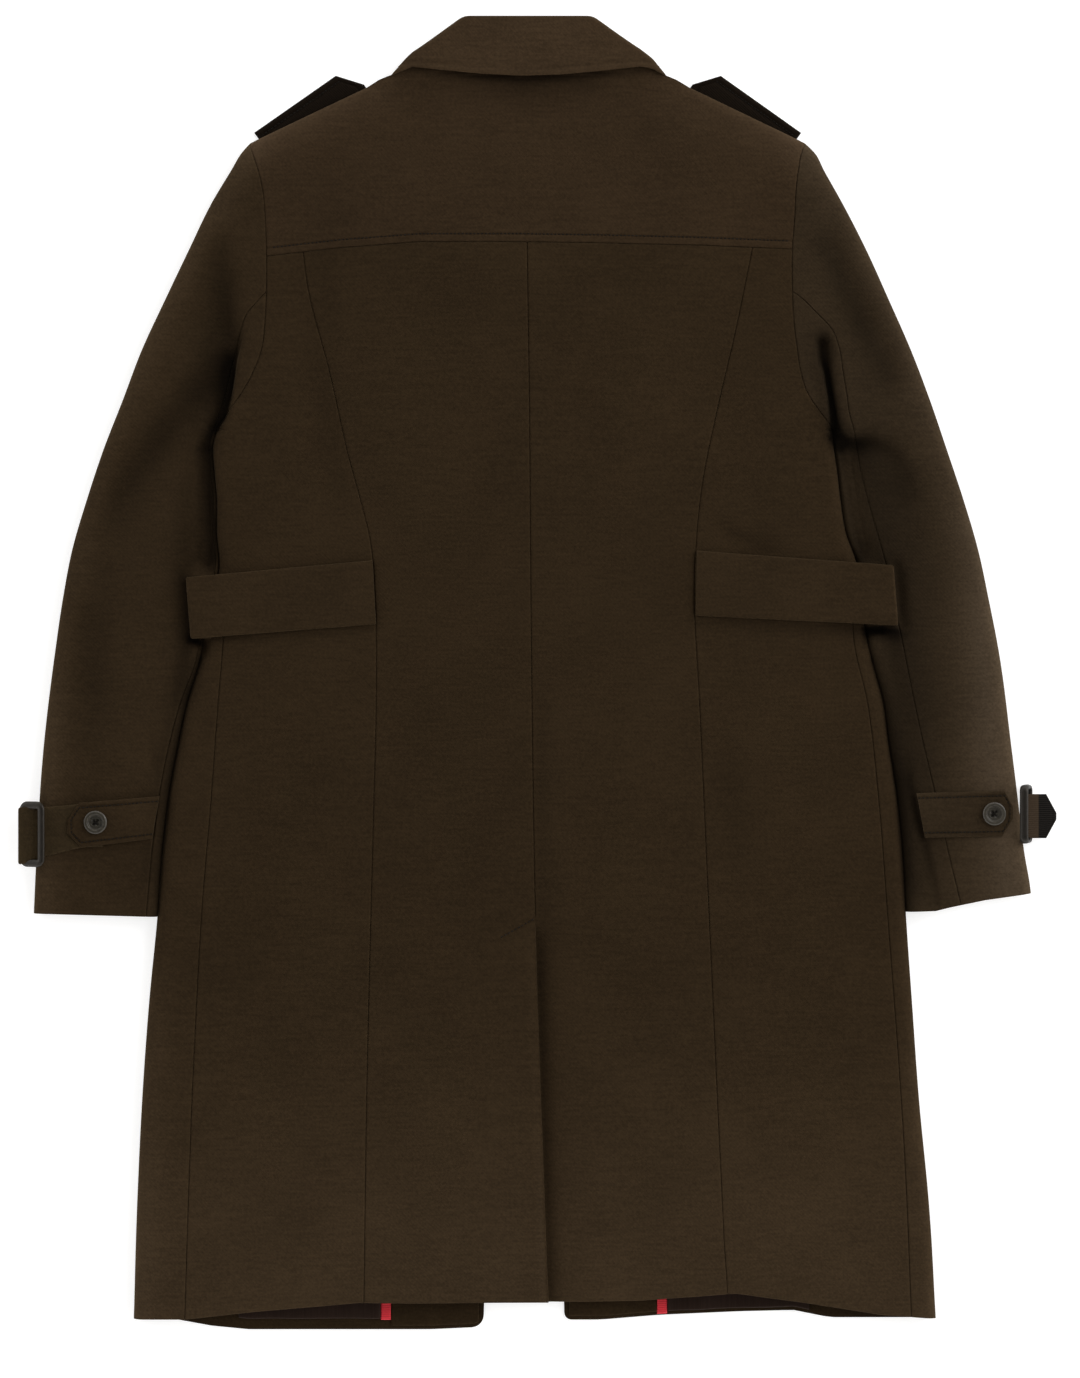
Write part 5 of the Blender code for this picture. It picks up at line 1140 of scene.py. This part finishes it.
for name, ((x0, z0), (x1, z1), (top, low)) in BUCKLES.items():
    length = math.hypot(x1 - x0, z1 - z0)
    slope = np.array((x1 - x0, 0, z1 - z0)) / length
    normal = np.array((slope[2], 0, -slope[0]))
    start = np.array((x0, 0, z0))
    path = []
    quarter = np.linspace(0, np.pi / 2, CORNER_STEPS)
    for u, v, phase in ((WIRE_CORNER, top - WIRE_CORNER, np.pi / 2), (WIRE_CORNER, low + WIRE_CORNER, np.pi),
                        (length - WIRE_CORNER, low + WIRE_CORNER, 1.5 * np.pi),
                        (length - WIRE_CORNER, top - WIRE_CORNER, 0.0)):
        around = np.stack((np.cos(quarter + phase), np.sin(quarter + phase)), -1)
        path.append((u, v) + WIRE_CORNER * around)
    path = np.vstack(path)
    run = np.roll(path, -1, axis=0) - np.roll(path, 1, axis=0)
    run /= np.linalg.norm(run, axis=1, keepdims=True)
    side = np.stack((run[:, 1], -run[:, 0]), -1)
    ring = np.linspace(0, 2 * np.pi, WIRE_SIDES + 1)[:-1]
    spread = np.cos(ring)[None, :, None] * side[:, None] * WIRE * WIRE_BROAD[name]
    u = path[:, None, 0] + spread[..., 0]
    v = path[:, None, 1] + spread[..., 1]
    points = (start + u[..., None] * slope + np.sin(ring)[None, :, None] * WIRE * WIRE_WIDE[name] * normal)
    points[..., 1] = v
    count = points.shape[:2]
    number = np.arange(count[0] * count[1]).reshape(count)
    on, off = np.roll(number, -1, axis=0), np.roll(number, -1, axis=1)
    faces = np.stack((number, on, np.roll(on, -1, axis=1), off), -1).reshape(-1, 4)
    buckle = make_mesh(f"wire_buckle_{name}", points.reshape(-1, 3), faces, steel)
    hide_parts(f"buckle_{name}")

# Cuff bands
# Narrow bands of doubled cloth. The left one runs under the tab and turns round its buckle's outer bar, and
# the right one ends in a point past its buckle and is coloured black from near that point.
band_wool = wool("milled olive brown wool, left band", "#2f2619")
STRAP_LEFT_FROM = -362.0
STRAP_LEFT_EDGES = (-112.0, -153.0)
STRAP_LEFT_TILT, STRAP_LEFT_LEVEL, STRAP_LEFT_TAPER = 0.17, -375.0, 0.1
STRAP_LEFT_TAPER_OVER = 30.0
STRAP_LEFT_SPREAD, STRAP_LEFT_SPREAD_OVER = 0.15, 8.0
BAND_ACROSS, BAND_ROWS, BRIDGE_ROWS, TURN_ROWS = 14, 24, 8, 17
STRAP_LEFT_STOP, STRAP_LEFT_TAIL = 4.0, 5.0
(inner_x, _), (bar_x, bar_z), _ = BUCKLES["left"]
top, low = STRAP_LEFT_EDGES
v = columns(0.0, top - low, BAND_ACROSS, HEM_STEPS, HEM_STEPS)[0][:, None]
y = top - v
level = plateau(np.full(v.shape, STRAP_LEFT_FROM), y) + GAP
flat_x = np.linspace(STRAP_LEFT_FROM, inner_x + STRAP_LEFT_STOP, BAND_ROWS)
bar = WIRE + GAP
flat_inner = grid_points(flat_x[None], y, level)
turn = np.radians(np.linspace(90, 270, TURN_ROWS))
round_inner = grid_points(bar_x + bar * np.cos(turn), y, bar_z + bar * np.sin(turn) + 0 * y)
bridge = np.linspace(0, 1, BRIDGE_ROWS)[1:-1]
bridge_x = flat_x[-1] + (bar_x - flat_x[-1]) * bridge
bridge_inner = grid_points(bridge_x[None], y, level + (bar_z + bar - level) * ease(bridge))
tail = np.linspace(0, STRAP_LEFT_TAIL, 4)[1:]
tail_inner = grid_points(bar_x + tail, y, bar_z - bar + 0 * y)
inner = np.concatenate((flat_inner, bridge_inner, round_inner, tail_inner), axis=1)
past_buckle = inner[..., 0] - inner_x
off_middle = inner[..., 1] - (top + low) / 2
narrower = 1 - STRAP_LEFT_TAPER * ease(past_buckle / STRAP_LEFT_TAPER_OVER)
broader = 1 + STRAP_LEFT_SPREAD * ease(-past_buckle / STRAP_LEFT_SPREAD_OVER)
tilt = STRAP_LEFT_TILT * (np.minimum(inner[..., 0], STRAP_LEFT_LEVEL) - inner_x)
inner[..., 1] = (top + low) / 2 + off_middle * narrower * broader + tilt
facing = np.concatenate((np.tile((0, 0, 1), (len(flat_x) + len(bridge_x), 1)),
                         np.stack((np.cos(turn), 0 * turn, np.sin(turn)), -1),
                         np.tile((0, 0, -1), (len(tail), 1))))
thick = soft_edge(np.minimum(v, top - low - v), STRAP_CLOTH)[..., None]
cloth("cuff_strap_left_cloth", ["cuff_strap_left"], inner + facing[None] * thick, inner, band_wool, no_painted_shading=True)

woven, woven_tree, woven_shader, woven_place = start_material(
    "brown band, black from near its point", {"Roughness": 0.85, "Specular IOR Level": 0.08})
# the band is coloured black from this x on, out to its point
POINT_STARTS, POINT_BLUR = 0.415, 0.0006
POINT_RIB = 0.0017    # rib of the woven band, as drawn
split = add(woven_tree, "ShaderNodeSeparateXYZ", inputs={"Vector": woven_place})
past = add(woven_tree, "ShaderNodeMapRange", {"clamp": True}, {
    "Value": split.outputs["X"], "From Min": POINT_STARTS - POINT_BLUR,
    "From Max": POINT_STARTS + POINT_BLUR})
ribs = add(woven_tree, "ShaderNodeTexWave", {"bands_direction": "Y"}, {
    "Vector": woven_place, "Scale": LEVEL_BANDS / POINT_RIB, "Distortion": 0.8, "Detail": 1.0})
black = add(woven_tree, "ShaderNodeMix", {"data_type": "RGBA"},
            {0: ribs.outputs["Fac"], 6: linear("#080706"), 7: linear("#1e1b18")})
two_tone = add(woven_tree, "ShaderNodeMix", {"data_type": "RGBA"},
               {0: past.outputs[0], 6: linear("#3a2f24"), 7: black.outputs[2]})
woven_tree.links.new(two_tone.outputs[2], woven_shader.inputs["Base Color"])
woven_bump = add(woven_tree, "ShaderNodeBump", inputs={
    "Strength": 0.5, "Distance": 0.0005, "Height": ribs.outputs["Fac"]})
woven_tree.links.new(woven_bump.outputs["Normal"], woven_shader.inputs["Normal"])
STRAP_RIGHT_EDGES = (-101.0, -137.7)
STRAP_RIGHT_LEVEL = 8.0
STRAP_RIGHT_SHAPE = ((402.5, 1), (421.5, 1), (430, 0.15))
STRAP_RIGHT_STITCH, STRAP_RIGHT_DENT = 3.5, 0.3
STRAP_RIGHT_ROWS, POINT_ROWS = 16, 14
mid = sum(STRAP_RIGHT_EDGES) / 2
half = (STRAP_RIGHT_EDGES[0] - STRAP_RIGHT_EDGES[1]) / 2
x_begin, x_shoulder, x_tip = (row[0] for row in STRAP_RIGHT_SHAPE)
x = np.concatenate((np.linspace(x_begin, x_shoulder, STRAP_RIGHT_ROWS),
                    np.linspace(x_shoulder, x_tip, POINT_ROWS)[1:]))
wide = half * straight(STRAP_RIGHT_SHAPE, x)
v = columns(-wide, wide, BAND_ACROSS, HEM_STEPS, HEM_STEPS)
away = np.minimum(wide[:, None] - np.abs(v), (x[-1] - x)[:, None])
level = STRAP_RIGHT_LEVEL + 0 * v
thick = soft_edge(away, STRAP_CLOTH) - channel(away, STRAP_RIGHT_STITCH, STRAP_RIGHT_DENT)
cloth("cuff_strap_right_cloth", ["cuff_strap_right"], grid_points(x[:, None], mid + v, level + thick),
      grid_points(x[:, None], mid + v, level), woven)

# Inside of the hem
# Only the strips that show between the two hems: a facing of the wool along each front edge, a red woven
# piping beside it and a dark satin lining that lies in soft waves.
piping, piping_tree, piping_shader, piping_place = start_material(
    "red woven piping", {"Roughness": 0.6, "Specular IOR Level": 0.35, "Sheen Weight": 0.2,
                         "Sheen Tint": linear("#e88090")})
CORD_PITCH = 0.0016   # the rib of the piping, drawn at twice its real 0.8 mm so that it shows
piping_rib = add(piping_tree, "ShaderNodeTexWave", {"bands_direction": "Y"}, {
    "Vector": piping_place, "Scale": LEVEL_BANDS / CORD_PITCH, "Distortion": 0.4})
piping_colour = add(piping_tree, "ShaderNodeMix", {"data_type": "RGBA"},
                    {0: piping_rib.outputs["Fac"], 6: linear("#b01522"), 7: linear("#dc2a38")})
piping_tree.links.new(piping_colour.outputs[2], piping_shader.inputs["Base Color"])
piping_bump = add(piping_tree, "ShaderNodeBump", inputs={
    "Strength": 0.4, "Distance": 0.0003, "Height": piping_rib.outputs["Fac"]})
piping_tree.links.new(piping_bump.outputs["Normal"], piping_shader.inputs["Normal"])

satin, satin_tree, satin_shader, satin_place = start_material(
    "dark satin lining", {"Roughness": 0.45, "Specular IOR Level": 0.06, "Anisotropic": 0.4})
SATIN_STREAK = 0.03
SATIN_THREAD = 0.0012  # satin threads are about 0.1 mm apart, drawn far coarser as faint streaks
satin_way = add(satin_tree, "ShaderNodeMapping", inputs={
    "Vector": satin_place, "Scale": (1 / SATIN_THREAD, 1 / SATIN_STREAK, 1 / SATIN_THREAD)})
satin_streak = add(satin_tree, "ShaderNodeTexNoise", inputs={
    "Vector": satin_way.outputs["Vector"], "Scale": 1.0, "Detail": 2.0})
satin_colour = add(satin_tree, "ShaderNodeMix", {"data_type": "RGBA"},
                   {0: satin_streak.outputs["Fac"], 6: linear("#1d140f"), 7: linear("#2e221c")})
satin_tree.links.new(satin_colour.outputs[2], satin_shader.inputs["Base Color"])
INSIDE = {"left": (-50.0, -123.0, -132.0, -250.0), "right": (25.0, 98.0, 107.0, 225.0)}
INSIDE_TOP = -430.0
FACING_CLOTH, LINING_CLOTH = 1.5, 1.0
INSIDE_ROWS, INSIDE_LONG, INSIDE_STEP, INSIDE_ROUND = 26, 90.0, 3.0, 1.2
LINING_WAVE, LINING_FLAT = 0.9, 0.35
WAVE_LONG, WAVE_SWAY, SWAY_LONG, WAVE_LEAN = 7.5, 1.1, 19.0, 2.0
INSIDE_HEMS = {"left": (3.0, 8.0, 9.0), "right": (3.0, 1.0, 3.0)}
for name, (front, piping_in, piping_out, side_end) in INSIDE.items():
    sign = LINES[name]["sign"]
    facing_hem, piping_hem, lining_hem = INSIDE_HEMS[name]
    strips = (("facing", front, piping_in, FACING_CLOTH, facing_hem, back_wool, "wool"),
              ("piping", piping_in + sign * GAP, piping_out - sign * GAP, FACING_CLOTH, piping_hem, piping,
               "red_piping"),
              ("lining", piping_out, side_end, LINING_CLOTH, lining_hem, satin, "satin_lining"))
    for label, begin, end, thick, hem, finish, slot in strips:
        count = max(int(abs(end - begin) / INSIDE_STEP), 4)
        x = columns(begin, end, count, HEM_STEPS / INSIDE_STEP, HEM_STEPS / INSIDE_STEP)[0][None]
        share = columns(0.0, 1.0, INSIDE_ROWS, NO_STEPS, HEM_STEPS / INSIDE_LONG)[0][:, None]
        y = INSIDE_TOP + (hem_front(name, x) + hem - INSIDE_TOP) * share
        wave = 0.0
        if label == "lining":
            wave = 1 + np.sin(x / WAVE_LONG + WAVE_SWAY * np.sin(x / SWAY_LONG) + share * WAVE_LEAN)
            wave = LINING_WAVE * wave * (LINING_FLAT + (1 - LINING_FLAT) * share)
        base = CLOTH + GAP + 0 * y + wave
        away = np.minimum(np.minimum(np.abs(x - begin), np.abs(end - x)), (1 - share) * INSIDE_LONG)
        outer, inner = (grid_points(x, y, z) for z in (base + soft_edge(away, thick, INSIDE_ROUND), base))
        if label == "piping":
            trim = shell(f"piping_{name}_trim", outer, inner, finish)[0]
            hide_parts(f"piping_{name}")
            continue
        cloth(f"{label}_{name}_cloth", [f"{label}_{name}"], outer, inner, finish)

# Topstitching
# Rows of brown thread that hold the seam turnings: one above the seam under the yoke and one across the top
# of the vent.
YOKE_ROW, YOKE_PROUD, VENT_PROUD = (-221, 206), 0.15, 0.05
row_x = np.linspace(*YOKE_ROW, 200)
row_y = straight(YOKE_SEAM, row_x) + YOKE_STITCH
row_z = yoke_height(row_x, SEAM_ROW + YOKE_STITCH + 0 * row_x) + YOKE_PROUD
stitches("yoke_stitching", np.column_stack((row_x, row_y, row_z)), dark_thread)
VENT_ROW = ((-32.0, -220.0), (-3.5, -204.0))
row_x, row_y = (np.linspace(VENT_ROW[0][k], VENT_ROW[1][k], 20) for k in (0, 1))
stitches("vent_stitching", np.column_stack((row_x, row_y, top_layer(row_x, row_y) + VENT_PROUD)), dark_thread)
